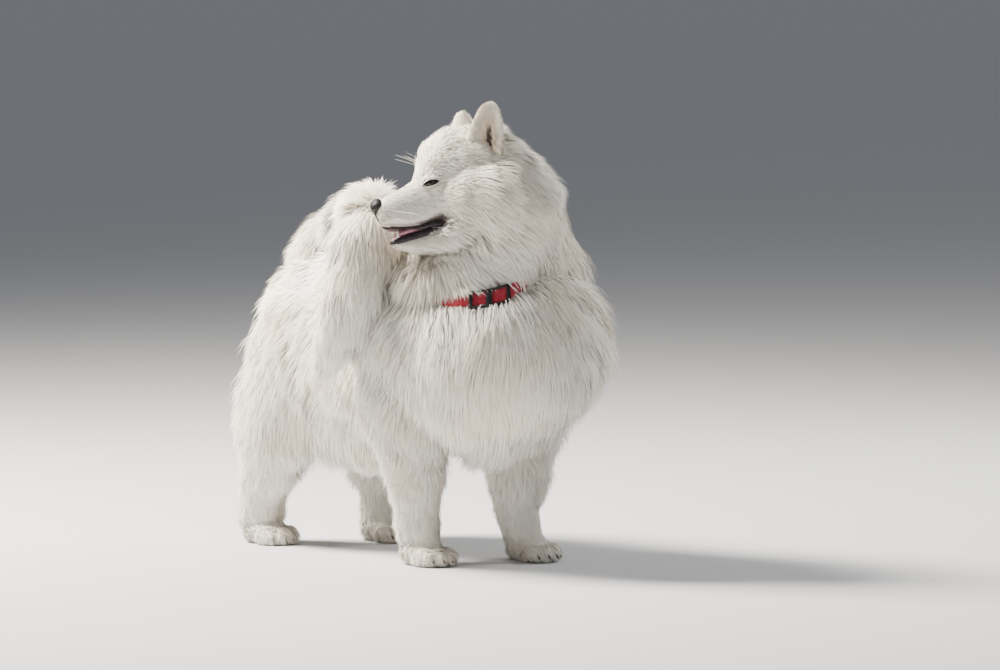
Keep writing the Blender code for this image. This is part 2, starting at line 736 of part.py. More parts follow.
def almond(side):
    """The opening between the lids, as a lens-shaped prism pointing out of the eye."""
    outward, along, upward = eye_frame(side)
    centre = eye_centre(side)
    bm = bmesh.new()
    count = 20
    ring = []
    for k in range(count):
        turn = 2 * math.pi * k / count
        x = ALMOND_LONG * math.cos(turn)
        y = ALMOND_HIGH * math.copysign(abs(math.sin(turn)) ** 1.35, math.sin(turn))
        ring.append((x, y))
    near = [bm.verts.new(centre + along * x * 0.35 + upward * y * 0.35) for x, y in ring]
    far = [bm.verts.new(centre + outward * 0.03 + along * x * 2.1 + upward * y * 2.1) for x, y in ring]
    for k in range(count):
        n = (k + 1) % count
        bm.faces.new((near[k], near[n], far[n], far[k]))
    bm.faces.new(near[::-1])
    bm.faces.new(far)
    return cutter(finish_mesh("almond", bm, COAT))


# Ears: a thick curved flap, its hollow facing outwards
EAR_ROOT = (-0.204, 0.048, 0.050)
EAR_TIP = (-0.228, 0.114, 0.064)
EAR_AIM = math.radians(68.0)
EAR_ROWS = [(0.0, 0.0305, 0.013), (0.3, 0.0305, 0.0125), (0.58, 0.0275, 0.0110), (0.8, 0.0215, 0.0090),
            (0.93, 0.0145, 0.0070), (1.0, 0.0070, 0.0045)]
EAR_CUP = 0.020


def ear_solid(name, side):
    """One ear, lofted from root to tip with its edges curled towards the opening."""
    root = on_head(EAR_ROOT[0], EAR_ROOT[1], side * EAR_ROOT[2])
    tip = on_head(EAR_TIP[0], EAR_TIP[1], side * EAR_TIP[2])
    upward = (tip - root).normalized()
    facing = FORWARD * math.cos(EAR_AIM) + LEFTWARD * side * math.sin(EAR_AIM)
    facing = (facing - upward * facing.dot(upward)).normalized()
    across = upward.cross(facing)
    bm = bmesh.new()
    rings = []
    sides = 18
    for share, wide, thick in EAR_ROWS:
        centre = root + (tip - root) * share
        cup = EAR_CUP * (wide / EAR_ROWS[0][1]) ** 1.5
        ring = []
        for k in range(sides):
            turn = 2 * math.pi * k / sides
            x = wide * math.cos(turn)
            y = thick / 2 * math.sin(turn) + cup * (math.cos(turn) ** 2 - 0.5)
            ring.append(bm.verts.new(centre + across * x + facing * y))
        rings.append(ring)
    for here, there in zip(rings, rings[1:]):
        for k in range(sides):
            n = (k + 1) % sides
            bm.faces.new((here[k], here[n], there[n], there[k]))
    bm.faces.new(rings[0][::-1])
    bm.faces.new(rings[-1])
    return finish_mesh(name, bm, EAR_COAT, 0.8)


# Nose leather and nostrils
NOSE_SIZE = (0.0125, 0.0125, 0.0165)
NOSTRIL_SIZE = (0.0050, 0.0030, 0.0034)


def nose_solid(name, grow=0.0):
    centre = on_head(-0.0115, -0.0020)
    nose = ellipsoid(name, centre, HEAD_FRAME, NOSE_SIZE, BLACK_SKIN, grow, 2, 0.35)
    if grow:
        return nose
    for side in (-1, 1):
        spot = on_head(-0.0020, -0.0045, side * 0.0078)
        hole = cutter(ellipsoid("nostril", spot, HEAD_FRAME, NOSTRIL_SIZE, BLACK_SKIN, 0.0, 2))
        boolean(nose, hole, "DIFFERENCE")
        drop(hole)
    return keep_largest(nose)


# Lips: forward, up and left of the upper and lower edges of the mouth, from the middle back to the corner
UPPER_LIP = [(-0.0105, -0.0340, 0.0), (-0.0165, -0.0375, 0.0120), (-0.034, -0.0435, 0.0205),
             (-0.060, -0.0470, 0.0262), (-0.085, -0.0475, 0.0315), (-0.104, -0.0485, 0.0370)]
LOWER_LIP = [(-0.0185, -0.0620, 0.0), (-0.0240, -0.0610, 0.0100), (-0.045, -0.0600, 0.0190),
             (-0.068, -0.0595, 0.0250), (-0.088, -0.0585, 0.0315), (-0.102, -0.0570, 0.0365)]


def lip_solid(name, line, half_out, half_high, grow=0.0):
    """A soft black edge that runs round one jaw from corner to corner."""
    stations = []
    points = [(f, u, -left) for f, u, left in line[:0:-1]] + list(line)
    for f, u, left in points:
        stations.append((on_head(f, u, left), half_out + grow, half_high + grow))
    def outward(i):
        f, u, left = points[i]
        return (FORWARD * 0.35 + LEFTWARD * left * 60).normalized() if left else FORWARD
    bm = bmesh.new()
    add_loft(bm, stations, outward, sides=10)
    return finish_mesh(name, bm, BLACK_SKIN, 0.4)


# Tongue
TONGUE = [(-0.100, -0.0560, 0.016, 0.004), (-0.080, -0.0545, 0.017, 0.005), (-0.060, -0.0545, 0.0155, 0.005),
          (-0.042, -0.0550, 0.0125, 0.0045), (-0.032, -0.0560, 0.0075, 0.0035)]


def tongue_solid(name, grow=0.0):
    stations = [(on_head(f, u), wide + grow, high + grow) for f, u, wide, high in TONGUE]
    return loft_object(name, stations, LEFTWARD, TONGUE_PINK, sides=14)


def lower_teeth():
    """The canines and incisors that the open mouth shows, as tapered pegs for the jaw."""
    teeth = []
    rows = [(-0.0300, side * 0.0105, 0.0026, 0.0125) for side in (-1, 1)]
    rows += [(-0.0245 - 0.0006 * k * k, 0.0030 * k, 0.0014, 0.0055) for k in (-2, -1, 0, 1, 2)]
    for f, left, radius, high in rows:
        bm = bmesh.new()
        stations = [(on_head(f, -0.0665, left), radius, radius),
                    (on_head(f, -0.0620 + high * 0.3, left), radius, radius),
                    (on_head(f - 0.0012, -0.0620 + high, left), radius * 0.3, radius * 0.3)]
        add_loft(bm, stations, LEFTWARD, sides=8)
        teeth.append(finish_mesh("tooth", bm, COAT))
    return teeth


# Collar: a flat strap in a furrow of the coat, lowest at the dog's right front
COLLAR_CENTRE = Vector((0.0, -0.037, 0.544))
COLLAR_LEAN = 0.085 / 0.145               # how steeply the collar's plane slopes
COLLAR_LOW_SIDE = math.radians(-155.0)   # bearing of the lowest point, from +X
STRAP_LIFT = 0.004                       # strap's middle over the neck's core
PARTING = math.radians(42.0)             # half the arc over which the coat parts and shows the strap
STRAP_HALF_HIGH, STRAP_HALF_THICK = 0.010, 0.0016
BUCKLE_BEARING = math.radians(-128.0)


def neck_section(z):
    """Centre, half width and half depth of the neck's core at a height."""
    z = min(max(z, NECK[0][2]), NECK[-1][2])
    for low, high in zip(NECK, NECK[1:]):
        if z <= high[2]:
            break
    share = (z - low[2]) / (high[2] - low[2])
    return [a + (b - a) * share for a, b in zip(low[:5], high[:5])]


def collar_point(bearing, lift=0.0):
    """A point of the strap's middle: on the collar's sloping plane, just outside the neck's core."""
    way = Vector((math.cos(bearing), math.sin(bearing), 0.0))
    climb = -COLLAR_LEAN * math.cos(bearing - COLLAR_LOW_SIDE)
    reach = 0.12
    for _ in range(12):
        x, y, _, wide, deep = neck_section(COLLAR_CENTRE.z + climb * reach)
        gap = Vector(((COLLAR_CENTRE.x - x) / wide, (COLLAR_CENTRE.y - y) / deep))
        ray = Vector((way.x / wide, way.y / deep))
        lead = gap.dot(ray)
        reach = (-lead + math.sqrt(lead * lead + ray.dot(ray) * (1 - gap.dot(gap)))) / ray.dot(ray)
    reach += STRAP_LIFT
    return COLLAR_CENTRE + way * (reach + lift) + Vector((0.0, 0.0, climb * reach))


def collar_ring(name, section, colour, steps=36):
    """A band round the neck; its section gives outward and upward offsets from the strap's middle."""
    bm = bmesh.new()
    rings = []
    for k in range(steps):
        bearing = 2 * math.pi * k / steps
        outward = Vector((math.cos(bearing), math.sin(bearing), 0.0))
        middle = collar_point(bearing)
        rings.append([bm.verts.new(middle + outward * out + WORLD[2] * up) for out, up in section(bearing)])
    count = len(rings[0])
    for k, here in enumerate(rings):
        there = rings[(k + 1) % steps]
        for j in range(count):
            n = (j + 1) % count
            bm.faces.new((here[j], here[n], there[n], there[j]))
    return finish_mesh(name, bm, colour)


def strap_section(bearing):
    thick, high = STRAP_HALF_THICK, STRAP_HALF_HIGH
    return [(-thick, -high), (thick, -high * 0.9), (thick, high * 0.9), (-thick, high)]


def furrow_section(bearing):
    """Room for the strap, widening outwards where the coat parts in front."""
    thick, high = STRAP_HALF_THICK + GAP, STRAP_HALF_HIGH + GAP
    swing = abs((bearing - BUCKLE_BEARING + math.pi) % (2 * math.pi) - math.pi)
    parted = max(0.0, 1.0 - swing / PARTING)
    out = thick + 0.001 + 0.09 * min(1.0, 4 * parted)
    up = 0.003 + (high + 0.016) * min(1.0, 1.3 * parted)
    return [(-thick, -high), (thick, -high), (out, -up), (out, up), (thick, high), (-thick, high)]


def buckle_block(name, grow=0.0):
    outward = Vector((math.cos(BUCKLE_BEARING), math.sin(BUCKLE_BEARING), 0.0))
    across = Vector((-math.sin(BUCKLE_BEARING), math.cos(BUCKLE_BEARING), 0.0))
    centre = collar_point(BUCKLE_BEARING, STRAP_HALF_THICK + GAP + 0.0045)
    obj = block(name, (outward, across, WORLD[2]), centre, (-0.0045, -0.021, -0.0135), (0.0045, 0.021, 0.0135), grow)
    obj.hide_render = False
    obj.display_type = "TEXTURED"
    if not grow:
        round_off = obj.modifiers.new("round", "BEVEL")
        round_off.width = 0.003
        round_off.segments = 2
        settle(obj)
        paint(obj, BUCKLE_BLACK, 0.4)
    return obj


def clear_scene():
    for obj in list(bpy.data.objects):
        bpy.data.objects.remove(obj)


def main():
    clear_scene()
    whole = body_core()
    head = head_core()
    boolean(whole, head, "UNION")
    drop(head)
    if not PLAIN:
        dress(whole, comb, short_coat, SEED + 1)
    for side in (-1, 1):
        for foot_y in (FORE_FOOT_Y[side], HIND_FOOT_Y[side]):
            paw = paw_solid(foot_y, side)
            boolean(whole, paw, "UNION")
            drop(paw)
    floor = block("floor", WORLD, Vector((0, 0, 0)), (-1, -1, -0.5), (1, 1, 0.0))
    boolean(whole, floor, "DIFFERENCE")
    drop(floor)

    # Small separate pieces, and the room that each takes out of the flesh
    lids = []
    holes = []
    for side, word in ((-1, "right"), (1, "left")):
        outward, along, upward = eye_frame(side)
        frame = (outward, along, upward)
        centre = eye_centre(side)
        ellipsoid("eye_" + word, centre, frame, [EYE_RADIUS] * 3, EYE_BROWN, 0.0, 2, 0.1)
        lids.append(ellipsoid("lid", centre, frame, [EYE_RADIUS + LID_THICKNESS] * 3, COAT, 0.0, 2))
        holes.append(cutter(ellipsoid("socket", centre, frame, [EYE_RADIUS] * 3, COAT, 2 * GAP, 2)))
        holes.append(almond(side))
        ear_solid("ear_" + word, side)
        holes.append(cutter(grown(ear_solid("ear_room", side), 2 * GAP)))
    union_of(whole, lids, "lids")
    nose_solid("nose")
    holes.append(cutter(nose_solid("nose_room", GAP)))
    union_of(whole, lower_teeth(), "teeth")
    lip_solid("lip_upper", UPPER_LIP, 0.0028, 0.0022)
    holes.append(cutter(lip_solid("lip_room", UPPER_LIP, 0.0028, 0.0022, GAP)))
    lip_solid("lip_lower", LOWER_LIP, 0.0030, 0.0042)
    holes.append(cutter(lip_solid("lip_room", LOWER_LIP, 0.0030, 0.0042, GAP)))
    tongue_solid("tongue")
    holes.append(cutter(tongue_solid("tongue_room", GAP)))
    collar_ring("collar_strap", strap_section, STRAP_RED)
    buckle_block("collar_buckle")
    furrow = cutter(collar_ring("furrow", furrow_section, COAT))
    holes.append(furrow)
    holes.append(cutter(buckle_block("buckle_room", 0.002)))
    for hole in holes:
        boolean(whole, hole, "DIFFERENCE")
    keep_largest(whole)

    # The nodes of the body, each cut from the whole
    tail = tail_core()
    if not PLAIN:
        dress(tail, tail_comb, lambda place: False, SEED + 9)
    bed = tail_bed()
    boolean(tail, bed, "INTERSECT")
    boolean(tail, furrow, "DIFFERENCE")
    keep_largest(tail)
    paint(tail, COAT, 0.85)
    boolean(whole, grown(bed, 3 * GAP), "DIFFERENCE")
    keep_largest(whole)
    drop(bed, *holes)
    room = jaw_block(0.0)
    take(whole, "lower_jaw", room)
    taken = [jaw_block(GAP)]
    drop(room)
    room = head_block(0.0)
    take(whole, "head", room, taken)
    taken.append(head_block(GAP))
    drop(room)
    for side, word in ((-1, "right"), (1, "left")):
        for kind, foot_y, top, back, front in (
            ("foreleg", FORE_FOOT_Y[side], 0.215, 0.13, 0.10),
            ("hindleg", HIND_FOOT_Y[side], 0.275, 0.16, 0.17),
        ):
            room = paw_block(side, foot_y, 0.0)
            take(whole, f"{kind}_{word}_paw", room)
            drop(room)
            paw_room = paw_block(side, foot_y, GAP)
            room = leg_block(side, foot_y, top, back, front, 0.0)
            take(whole, f"{kind}_{word}", room, [paw_room])
            drop(room)
            taken.append(paw_room)
            taken.append(leg_block(side, foot_y, top, back, front, GAP))
    room = neck_block(0.0)
    take(whole, "neck", room, taken[:2])
    taken.append(neck_block(GAP))
    drop(room)
    take(whole, "torso", None, taken)
    drop(whole, *taken)

    shift = Matrix.Translation(-ORIGIN)
    for obj in bpy.data.objects:
        obj.data.transform(shift)
        obj.data.shade_smooth()
        obj.data.set_sharp_from_angle(angle=math.radians(40))


main()
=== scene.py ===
import math

import bmesh
import bpy
import numpy as np
from mathutils import Matrix, Vector
from mathutils.bvhtree import BVHTree
from mathutils.kdtree import KDTree


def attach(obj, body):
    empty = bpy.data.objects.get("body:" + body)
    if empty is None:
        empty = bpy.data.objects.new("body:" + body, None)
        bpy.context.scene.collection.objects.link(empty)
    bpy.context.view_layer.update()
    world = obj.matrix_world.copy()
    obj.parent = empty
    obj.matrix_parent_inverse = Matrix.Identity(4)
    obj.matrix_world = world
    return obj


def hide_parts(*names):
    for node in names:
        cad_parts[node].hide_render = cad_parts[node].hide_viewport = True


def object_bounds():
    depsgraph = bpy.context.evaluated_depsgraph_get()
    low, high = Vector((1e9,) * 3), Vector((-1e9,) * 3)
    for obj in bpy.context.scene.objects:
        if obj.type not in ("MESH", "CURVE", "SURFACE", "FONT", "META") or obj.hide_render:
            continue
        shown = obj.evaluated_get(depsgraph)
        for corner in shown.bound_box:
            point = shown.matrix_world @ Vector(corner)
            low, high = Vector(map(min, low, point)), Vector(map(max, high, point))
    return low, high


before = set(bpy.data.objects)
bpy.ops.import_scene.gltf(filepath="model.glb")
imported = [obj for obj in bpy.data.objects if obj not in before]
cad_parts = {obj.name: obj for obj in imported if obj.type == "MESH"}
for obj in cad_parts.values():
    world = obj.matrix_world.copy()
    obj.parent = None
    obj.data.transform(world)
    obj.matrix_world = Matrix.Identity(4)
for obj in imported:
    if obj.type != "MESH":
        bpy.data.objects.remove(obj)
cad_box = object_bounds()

# The dog's stance. Places on the body are given from the floor below its withers, with the dog
# heading along -Y and its left side at +X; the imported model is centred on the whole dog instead.
MODEL_CENTRE = Vector((-0.037, 0.122, 0.0))
LATERAL = Vector((1.0, 0.0, 0.0))
UPRIGHT = Vector((0.0, 0.0, 1.0))


def on_dog(x, y, z):
    return Vector((x, y, z)) - MODEL_CENTRE


# The head looks to the dog's right and dips a little. Places on it are given forward, up and to its
# left from the tip of the nose.
NOSE_TIP = on_dog(-0.221, -0.002, 0.610)
HEAD_TURN, HEAD_DIP, HEAD_ROLL = math.radians(118.0), math.radians(14.0), math.radians(6.0)
level = Vector((-math.sin(HEAD_TURN), -math.cos(HEAD_TURN), 0.0))
FORWARD = level * math.cos(HEAD_DIP) - UPRIGHT * math.sin(HEAD_DIP)
straight_crown = level * math.sin(HEAD_DIP) + UPRIGHT * math.cos(HEAD_DIP)
CROWN = straight_crown * math.cos(HEAD_ROLL) - straight_crown.cross(FORWARD) * math.sin(HEAD_ROLL)
LEFTWARD = CROWN.cross(FORWARD).normalized()


def on_head(forward, up, left=0.0):
    return NOSE_TIP + FORWARD * forward + CROWN * up + LEFTWARD * left


# Camera and studio. The camera stands where the photograph's did, a little above the dog's chest,
# ahead of it and to its right; a broad warm light stands high to the left, behind the dog.
CAMERA_DISTANCE = 8.5
CAMERA_RISE = math.radians(4.0)
LENS = 21.24                      # focal length in millimetres for each metre of distance
view_right = Vector((0.766, -0.643, 0.0))
view_ahead = Vector((0.643, 0.766, 0.0))
aim = view_right * 0.0475 + UPRIGHT * 0.386 - MODEL_CENTRE


def stand(name, kind, place):
    """Set up the camera or a light at its place, turned to the dog's middle."""
    thing = bpy.data.objects.new(name, kind)
    thing.location = place
    thing.rotation_euler = (aim - thing.location).to_track_quat("-Z", "Y").to_euler()
    bpy.context.scene.collection.objects.link(thing)
    return thing


def soft_light(name, right, ahead, height, size, watts, colour):
    """A square light panel, placed as the camera sees it."""
    panel = bpy.data.lights.new(name, "AREA")
    panel.size, panel.energy, panel.color = size, watts, colour
    stand(name, panel, aim + view_right * right + view_ahead * ahead + UPRIGHT * height)


lens = bpy.data.cameras.new("camera")
lens.sensor_width = 36.0
lens.lens = LENS * CAMERA_DISTANCE
bpy.context.scene.camera = stand(
    "camera", lens, aim - view_ahead * CAMERA_DISTANCE * math.cos(CAMERA_RISE)
    + UPRIGHT * CAMERA_DISTANCE * math.sin(CAMERA_RISE))
soft_light("key_light", -2.4, 0.6, 2.6, 1.2, 900.0, (1.0, 0.93, 0.83))
soft_light("fill_light", 1.2, -3.4, 1.4, 2.8, 18.0, (0.98, 0.98, 1.0))
soft_light("rim_light", 2.2, 1.8, 1.8, 1.2, 90.0, (1.0, 0.98, 0.95))


def feed(node, inputs):
    """Give a node its inputs, each a plain value or the output of another node."""
    for name, given in inputs.items():
        if isinstance(given, bpy.types.NodeSocket):
            node.id_data.links.new(given, node.inputs[name])
        else:
            node.inputs[name].default_value = given


def new_finish(name):
    """A surface finish to fill in: its material, its node tree and its shader."""
    material = bpy.data.materials.new(name)
    material.use_nodes = True
    return material, material.node_tree, material.node_tree.nodes["Principled BSDF"]


room = bpy.data.worlds.new("room")
room.use_nodes = True
feed(room.node_tree.nodes["Background"], {"Color": (0.74, 0.76, 0.80, 1.0), "Strength": 0.36})
bpy.context.scene.world = room

floor_bm = bmesh.new()
bmesh.ops.create_grid(floor_bm, x_segments=1, y_segments=1, size=300.0)
floor_mesh = bpy.data.meshes.new("studio_floor")
floor_bm.to_mesh(floor_mesh)
floor_bm.free()
studio_floor = bpy.data.objects.new("studio_floor", floor_mesh)
bpy.context.scene.collection.objects.link(studio_floor)
floor_paint, _, floor_shader = new_finish("floor_paint")
feed(floor_shader, {"Base Color": (0.54, 0.55, 0.57, 1.0), "Roughness": 0.9})
floor_mesh.materials.append(floor_paint)

# Skin. The dog's hide from nose to tail in one piece, drawn over its flesh. It is pinkish grey
# where it shows at all, and everything but the nose, lips, eyes and pads grows hair from it.
COAT_BED = 0.006                  # how far the skin lies inside the solids' core
TORSO = [                         # Y, top, bottom, half width
    (-0.232, 0.385, 0.320, 0.040), (-0.205, 0.430, 0.280, 0.085), (-0.160, 0.490, 0.250, 0.125),
    (-0.100, 0.540, 0.224, 0.155), (-0.030, 0.565, 0.210, 0.165), (0.050, 0.568, 0.200, 0.160),
    (0.130, 0.556, 0.192, 0.140), (0.220, 0.545, 0.188, 0.136), (0.300, 0.540, 0.196, 0.132),
    (0.370, 0.540, 0.238, 0.124), (0.420, 0.528, 0.312, 0.108), (0.455, 0.500, 0.378, 0.080),
    (0.470, 0.475, 0.420, 0.050),
]
NECK = [                          # X, Y, Z, half width, half depth
    (0.000, -0.020, 0.460, 0.152, 0.158), (-0.003, -0.055, 0.530, 0.131, 0.133),
    (-0.012, -0.080, 0.590, 0.104, 0.107), (-0.028, -0.104, 0.640, 0.090, 0.092),
    (-0.040, -0.106, 0.680, 0.054, 0.060),
]
SKULL = [                         # forward, up, half height, half width, depth of the coat there
    (-0.008, -0.0150, 0.0180, 0.0160, 0.002), (-0.016, -0.0152, 0.0232, 0.0220, 0.002),
    (-0.035, -0.0168, 0.0298, 0.0280, 0.002), (-0.060, -0.0178, 0.0358, 0.0320, 0.002),
    (-0.078, -0.0155, 0.0395, 0.0350, 0.003), (-0.090, -0.0070, 0.0465, 0.0385, 0.003),
    (-0.102, 0.0040, 0.0575, 0.0430, 0.005), (-0.116, 0.0130, 0.0675, 0.0520, 0.008),
    (-0.136, 0.0190, 0.0750, 0.0650, 0.012), (-0.160, 0.0190, 0.0780, 0.0750, 0.014),
    (-0.190, 0.0160, 0.0775, 0.0790, 0.014), (-0.222, 0.0070, 0.0690, 0.0740, 0.010),
    (-0.250, -0.0110, 0.0540, 0.0600, 0.006), (-0.270, -0.0300, 0.0350, 0.0440, 0.004),
]
JAW = [                           # forward, up, half height, half width, depth of the coat there
    (-0.020, -0.0700, 0.0050, 0.010, 0.001), (-0.026, -0.0725, 0.0090, 0.014, 0.001),
    (-0.045, -0.0760, 0.0135, 0.019, 0.002), (-0.070, -0.0770, 0.0170, 0.025, 0.002),
    (-0.095, -0.0765, 0.0200, 0.034, 0.003), (-0.120, -0.0710, 0.0275, 0.046, 0.004),
    (-0.150, -0.0560, 0.0410, 0.058, 0.008),
]
CHEEK = [                         # forward, up, left, half height, half width
    (-0.098, -0.014, 0.026, 0.020, 0.010),
    (-0.120, -0.012, 0.030, 0.034, 0.018), (-0.150, -0.020, 0.046, 0.044, 0.028),
    (-0.185, -0.030, 0.056, 0.050, 0.036), (-0.215, -0.040, 0.058, 0.048, 0.036),
]
FORE_FOOT_Y = {-1: 0.030, 1: -0.032}     # by side: -1 is the dog's right
HIND_FOOT_Y = {-1: 0.468, 1: 0.362}
FOOT_OUT = 0.09                   # from the dog's middle to each foot
TOES = ((-0.024, -0.037), (-0.009, -0.048), (0.009, -0.048), (0.024, -0.037))
FORELEG = {                       # along Y from the foot, Z, out, half width, half depth
    -1: [(-0.012, 0.016, 0.090, 0.027, 0.034), (0.000, 0.045, 0.090, 0.028, 0.033),
         (0.006, 0.090, 0.092, 0.030, 0.031), (0.006, 0.140, 0.095, 0.034, 0.037),
         (0.008, 0.200, 0.100, 0.041, 0.047), (0.014, 0.265, 0.103, 0.051, 0.063),
         (0.018, 0.330, 0.098, 0.055, 0.077), (0.018, 0.400, 0.080, 0.044, 0.062)],
    1: [(-0.012, 0.016, 0.090, 0.027, 0.034), (0.000, 0.045, 0.090, 0.028, 0.033),
        (0.006, 0.090, 0.093, 0.031, 0.032), (0.006, 0.140, 0.099, 0.037, 0.039),
        (0.008, 0.200, 0.109, 0.048, 0.050), (0.008, 0.265, 0.120, 0.062, 0.068),
        (0.008, 0.330, 0.114, 0.070, 0.082), (0.008, 0.410, 0.088, 0.050, 0.064)],
}
HINDLEG = {
    -1: [(-0.010, 0.016, 0.090, 0.026, 0.034), (0.004, 0.045, 0.090, 0.028, 0.033),
         (-0.006, 0.090, 0.090, 0.027, 0.031), (-0.024, 0.145, 0.090, 0.029, 0.044),
         (-0.038, 0.200, 0.094, 0.030, 0.054), (-0.068, 0.270, 0.096, 0.036, 0.066),
         (-0.106, 0.340, 0.092, 0.042, 0.080), (-0.128, 0.420, 0.078, 0.046, 0.084),
         (-0.130, 0.480, 0.056, 0.030, 0.060)],
    1: [(-0.010, 0.016, 0.090, 0.026, 0.034), (0.002, 0.045, 0.090, 0.028, 0.033),
        (0.004, 0.090, 0.090, 0.026, 0.029), (0.010, 0.145, 0.090, 0.026, 0.035),
        (0.000, 0.200, 0.094, 0.030, 0.047), (-0.010, 0.270, 0.096, 0.036, 0.066),
        (-0.010, 0.340, 0.092, 0.042, 0.080), (-0.022, 0.420, 0.078, 0.046, 0.084),
        (-0.024, 0.480, 0.056, 0.030, 0.060)],
}
TAIL = [                          # X, Y, Z, half thickness
    (0.000, 0.462, 0.455, 0.022), (0.000, 0.440, 0.490, 0.028), (-0.010, 0.385, 0.522, 0.030),
    (-0.026, 0.320, 0.548, 0.031), (-0.050, 0.245, 0.576, 0.032), (-0.085, 0.170, 0.598, 0.033),
    (-0.132, 0.103, 0.596, 0.034), (-0.176, 0.064, 0.556, 0.033), (-0.201, 0.055, 0.495, 0.030),
    (-0.211, 0.068, 0.435, 0.024), (-0.212, 0.100, 0.380, 0.014), (-0.208, 0.132, 0.345, 0.006),
]


def ring_edges(ring):
    """The edges that run round a ring of points."""
    inside = set(ring)
    return [e for e in {e for v in ring for e in v.link_edges} if set(e.verts) <= inside]


def join_rings(bm, loops, close=True):
    """Bridge rings one after another into a tube, and close its ends. Gives each band's faces."""
    bands = [
        bmesh.ops.bridge_loops(bm, edges=here + there)["faces"]
        for here, there in zip(loops, loops[1:])]
    if close:
        bmesh.ops.holes_fill(bm, edges=loops[0] + loops[-1], sides=0)
    return bands


def placing(x, y, z, centre):
    """A placing with the given axes about a middle."""
    place = Matrix((x, y, z)).transposed().to_4x4()
    place.translation = centre
    return place


def draw_rings(bm, stations, reach, segments=24, along=None, boxy=2.0):
    """A closed tube of flesh through rings. They stand square to the tube unless told otherwise,
    and boxy rings fill out the corners of their lower half."""
    loops = []
    square = along is None
    for i, (centre, across, deep) in enumerate(stations):
        if square:
            ahead, behind = stations[min(i + 1, len(stations) - 1)], stations[max(i - 1, 0)]
            along = (ahead[0] - behind[0]).normalized()
        side = (reach - along * reach.dot(along)).normalized()
        third = along.cross(side)
        place = placing(side * across, third * deep, along, centre)
        ring = bmesh.ops.create_circle(bm, segments=segments, radius=1.0)["verts"]
        for v in ring:
            fill = 2.0 / boxy if v.co.y * third.z < 0 else 1.0
            v.co = place @ Vector([math.copysign(abs(part) ** fill, part) for part in v.co])
        loops.append(ring_edges(ring))
    join_rings(bm, loops)


def lump(bm, centre, size):
    """An egg-shaped lump: a toe, the ball of a foot or a pad."""
    spot = Matrix.Translation(centre) @ Matrix.Diagonal((*size, 1.0))
    bmesh.ops.create_icosphere(bm, subdivisions=3, radius=1.0, matrix=spot)


def carried(name, mesh):
    """A finished mesh as a piece that rides on the dog."""
    piece = bpy.data.objects.new(name, mesh)
    bpy.context.scene.collection.objects.link(piece)
    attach(piece, "root")
    return piece


def piece_from(name, bm, *materials):
    """A piece from its modelled shape, with its finishes."""
    bmesh.ops.recalc_face_normals(bm, faces=bm.faces)
    mesh = bpy.data.meshes.new(name)
    bm.to_mesh(mesh)
    bm.free()
    mesh.shade_smooth()
    for material in materials:
        mesh.materials.append(material)
    return carried(name, mesh)


def apply_modifiers(piece):
    """Keep a piece's shape as its modifiers leave it, and drop them."""
    bpy.context.view_layer.update()
    finished = piece.evaluated_get(bpy.context.evaluated_depsgraph_get())
    shaped = bpy.data.meshes.new_from_object(finished)
    piece.modifiers.clear()
    piece.data = shaped


def unwrap(piece):
    """Lay a piece's own surface out flat, for the coat that grows on it."""
    for other in bpy.context.selected_objects:
        other.select_set(False)
    bpy.context.view_layer.objects.active = piece
    piece.select_set(True)
    bpy.ops.object.mode_set(mode="EDIT")
    bpy.ops.mesh.select_all(action="SELECT")
    bpy.ops.uv.smart_project(angle_limit=math.radians(70), island_margin=0.004)
    bpy.ops.object.mode_set(mode="OBJECT")
    piece.data.uv_layers[0].name = "OFBake"


def add_node(tree, kind, inputs, **settings):
    """A node of a finish, with its settings and inputs."""
    node = tree.nodes.new("ShaderNode" + kind)
    for setting, value in settings.items():
        setattr(node, setting, value)
    feed(node, inputs)
    return node


def pebbled_group():
    """Skin grain shared by hide, leather and gums: patchy colour and a relief of small cells."""
    group = bpy.data.node_groups.new("pebbled_skin", "ShaderNodeTree")
    for way, name, kind in (
        ("INPUT", "Dark", "Color"), ("INPUT", "Light", "Color"), ("INPUT", "Patch Scale", "Float"),
        ("INPUT", "Cell Scale", "Float"), ("OUTPUT", "Color", "Color"),
        ("OUTPUT", "Height", "Float"), ("OUTPUT", "Roughness", "Float"),
    ):
        group.interface.new_socket(name, in_out=way, socket_type="NodeSocket" + kind)
    given = group.nodes.new("NodeGroupInput").outputs
    place = add_node(group, "TexCoord", {}).outputs["Object"]
    patches = add_node(group, "TexNoise", {
        "Vector": place, "Scale": given["Patch Scale"], "Detail": 5.0})
    cells = add_node(group, "TexVoronoi", {"Vector": place, "Scale": given["Cell Scale"]})
    fine = add_node(group, "TexNoise", {"Vector": place, "Scale": 2600.0})
    contrast = add_node(group, "MapRange", {
        "Value": patches.outputs["Fac"], "From Min": 0.34, "From Max": 0.68}).outputs["Result"]
    colour = add_node(group, "Mix", {
        "Factor": contrast, "A": given["Dark"], "B": given["Light"]}, data_type="RGBA")
    height = add_node(group, "Math", {
        0: fine.outputs["Fac"], 1: 0.35, 2: cells.outputs["Distance"]}, operation="MULTIPLY_ADD")
    rough = add_node(group, "MapRange", {"Value": contrast, "To Min": 0.30, "To Max": 0.52})
    feed(group.nodes.new("NodeGroupOutput"), {
        "Color": colour.outputs["Result"], "Height": height.outputs["Value"],
        "Roughness": rough.outputs["Result"]})
    return group


PEBBLED = pebbled_group()


